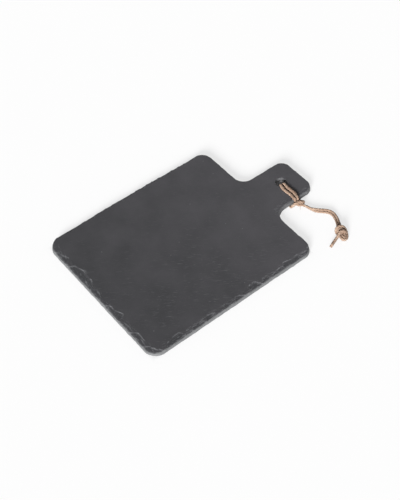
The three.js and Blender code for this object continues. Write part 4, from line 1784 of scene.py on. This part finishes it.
    def _fuzz(self, cut: str, base: int) -> tuple[np.ndarray, Faces]:
        """Lets loose fibres stand out of a stretch of twine.

        Args:
            cut: The stretch.
            base: The number of the first fibre's first point.

        Returns:
            The fibres' points and faces.
        """
        first, last = self.cuts[cut]
        heading = self.frames[0]
        chance = np.random.default_rng(Seed.FUZZ + first)
        fibres = []
        for _ in range(round((last - first) * self.step * self.fuzz_per_mm)):
            index = int(chance.integers(first + 1, last))
            way = int(chance.choice((-1, 1)))
            room = (last - index if way > 0 else index - first) * self.step
            fibres.append(self._fibre(index, heading[index] * way, room, chance))
        if cut == "hitch":
            fibres.append((np.array(STRAY_FIBRE), self.stray_radius))
        points, faces = [], []
        for spine, radius in fibres:
            points.append(self._fibre_points(spine, radius))
            faces += self._fibre_faces(base, len(spine))
            base += len(points[-1])
        return self._press(np.vstack(points)), faces

    def _fibre(
        self, index: int, ahead: np.ndarray, room: float, chance: np.random.Generator
    ) -> tuple[np.ndarray, float]:
        """Lets one fibre leave the twine.

        Args:
            index: The point of the twine's line that it leaves from.
            ahead: The way that it leans along the twine.
            room: How much of the stretch is left that way.
            chance: The stretch's own chances.

        Returns:
            The fibre's line and its radius.
        """
        out = chance.normal(size=3)
        out -= ahead * (out @ ahead)
        out /= np.linalg.norm(out)
        bow = np.cross(ahead, out) * chance.uniform(-self.fibre_bow, self.fibre_bow)
        length = min(chance.uniform(*self.fibre_length), room + self.past_cut)
        stand = chance.uniform(*self.fibre_stand)
        root = self.line[index] + out * self.diameter * 0.4 * self.thickness[index]
        share = np.linspace(0, 1, 5)[:, None]
        rise = out * stand * np.sin(share * 1.9) * length * 0.45
        spine = root + ahead * length * share + rise + bow * share**2 * length * 0.4
        return spine, chance.uniform(*self.fibre_radius)

    @staticmethod
    def _fibre_points(spine: np.ndarray, radius: float) -> np.ndarray:
        """Makes the three-sided rings of a fibre, which tapers to its tip.

        Args:
            spine: The fibre's line.
            radius: Its radius at the root.

        Returns:
            The rings' points in order.
        """
        _, cross, other = carried_frames(spine)
        rings = []
        for step, point in enumerate(spine):
            width = radius * (1 - FIBRE_TAPER * step / (len(spine) - 1))
            for turn in np.arange(FIBRE_SIDES) * 2 * math.pi / FIBRE_SIDES:
                ray = cross[step] * math.cos(turn) + other[step] * math.sin(turn)
                rings.append(point + ray * width)
        return np.array(rings)

    @staticmethod
    def _fibre_faces(base: int, count: int) -> Faces:
        """Joins a fibre's rings.

        Args:
            base: The number of its first point.
            count: How many rings it has.

        Returns:
            The faces, both tips closed.
        """
        top = base + FIBRE_SIDES * (count - 1)
        faces: Faces = []
        for low in range(base, top, FIBRE_SIDES):
            faces += ring_faces(low, low + FIBRE_SIDES, FIBRE_SIDES)
        return faces + [(base + 2, base + 1, base), (top, top + 1, top + 2)]


# Camera, floor and light


@dataclass(frozen=True)
class PhotoCamera:
    """The camera that took the photograph, fitted to the board's straight edges."""

    focal_px: float = 1023.203
    azimuth: float = -39.782
    elevation: float = 51.438
    roll: float = 0.565
    distance: float = 1181.319
    target: tuple[float, float, float] = (-15.085, -13.673, 0.0)

    def build(self) -> bpy.types.Object:
        """Sets up the camera as the scene's own.

        Returns:
            The camera.
        """
        turn, rise, roll = (math.radians(v) for v in (self.azimuth, self.elevation, self.roll))
        flat = math.cos(rise)
        back = Vector((math.sin(turn) * flat, -math.cos(turn) * flat, math.sin(rise)))
        level = Vector((math.cos(turn), math.sin(turn), 0.0))
        upright = back.cross(level)
        right = level * math.cos(roll) + upright * math.sin(roll)
        up = upright * math.cos(roll) - level * math.sin(roll)
        data = bpy.data.cameras.new("photo_camera")
        data.sensor_width = SENSOR_MM
        data.lens = self.focal_px * SENSOR_MM / max(PHOTO_WIDTH, PHOTO_HEIGHT)
        data.clip_start = 0.05
        camera = bpy.data.objects.new("photo_camera", data)
        place = (Vector(self.target) + back * self.distance) * MM
        facing = Matrix((right, up, back)).transposed().to_4x4()
        camera.matrix_world = Matrix.Translation(place) @ facing
        bpy.context.scene.collection.objects.link(camera)
        bpy.context.scene.camera = camera
        return camera


@dataclass(frozen=True)
class Lamp:
    """A wide soft lamp so far off that it lights the whole floor alike."""

    name: str
    comes_from: tuple[float, float, float]
    width_deg: float
    strength: float

    def build(self) -> bpy.types.Object:
        """Hangs the lamp.

        Returns:
            The lamp.
        """
        data = bpy.data.lights.new(self.name, "SUN")
        data.angle = math.radians(self.width_deg)
        data.energy = self.strength
        lamp = bpy.data.objects.new(self.name, data)
        lamp.rotation_euler = Vector(self.comes_from).to_track_quat("Z", "Y").to_euler()
        bpy.context.scene.collection.objects.link(lamp)
        return lamp


@dataclass(frozen=True)
class Studio:
    """Pale floor, one wide soft lamp from the front left, pale walls all round and a dark ceiling."""

    floor_size: float = 6.0
    surround: float = 0.5
    ceiling: float = 0.04
    lamps: Sequence[Lamp] = (Lamp("low_front_light", (-0.781, -0.514, 0.354), 19.0, 6.66),)

    def build(self) -> bpy.types.Object:
        """Lays the floor, hangs the lamps and lights the surround.

        Returns:
            The floor.
        """
        for lamp in self.lamps:
            lamp.build()
        self._world()
        half = self.floor_size / 2
        mesh = bpy.data.meshes.new("studio_floor")
        corners = [(-half, -half, 0), (half, -half, 0), (half, half, 0), (-half, half, 0)]
        mesh.from_pydata(corners, [], [(0, 1, 2, 3)])
        mesh.materials.append(PaleFloor(BOARD_RECTANGLES).material())
        floor = bpy.data.objects.new("studio_floor", mesh)
        bpy.context.scene.collection.objects.link(floor)
        return floor

    def _world(self) -> None:
        """Lights the walls, leaves the ceiling dark and shows both white to the camera."""
        world = bpy.data.worlds.new("white_surround")
        world.use_nodes = True
        tree = world.node_tree
        tree.nodes.clear()
        heading = add_node(tree, "TexCoord").outputs["Generated"]
        way = add_node(tree, "SeparateXYZ", None, {0: heading})
        walls = {"From Min": 0.6, "From Max": 0.8, "To Min": self.surround, "To Max": self.ceiling}
        level = add_node(tree, "MapRange", walls, {"Value": way.outputs["Z"]})
        lit = add_node(tree, "Background", {"Color": WHITE}, {"Strength": level.outputs[0]})
        white = add_node(tree, "Background", {"Color": WHITE, "Strength": 1.0})
        layers = {0: seen_directly(tree), 1: lit.outputs[0], 2: white.outputs[0]}
        both = add_node(tree, "MixShader", None, layers)
        add_node(tree, "OutputWorld", None, {"Surface": both.outputs[0]})
        bpy.context.scene.world = world


def main() -> None:
    """Builds the camera, the twine, the feet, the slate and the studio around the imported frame."""
    logging.basicConfig(level=logging.INFO, format="%(name)s: %(message)s")
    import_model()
    bpy.context.scene.view_settings.view_transform = "Standard"
    PhotoCamera().build()
    pieces = HangingTwine(TwistedJute().material()).build()
    pads = FootPads(FoamRubber().material())
    pieces += pads.build()
    pieces.append(SlateBoard(SplitSlate().material(), pads.centres()).build())
    for piece in pieces:
        mesh = piece.data
        LOG.info("%s: %d points, %d faces", piece.name, len(mesh.vertices), len(mesh.polygons))
    Studio().build()


if __name__ == "__main__":
    main()
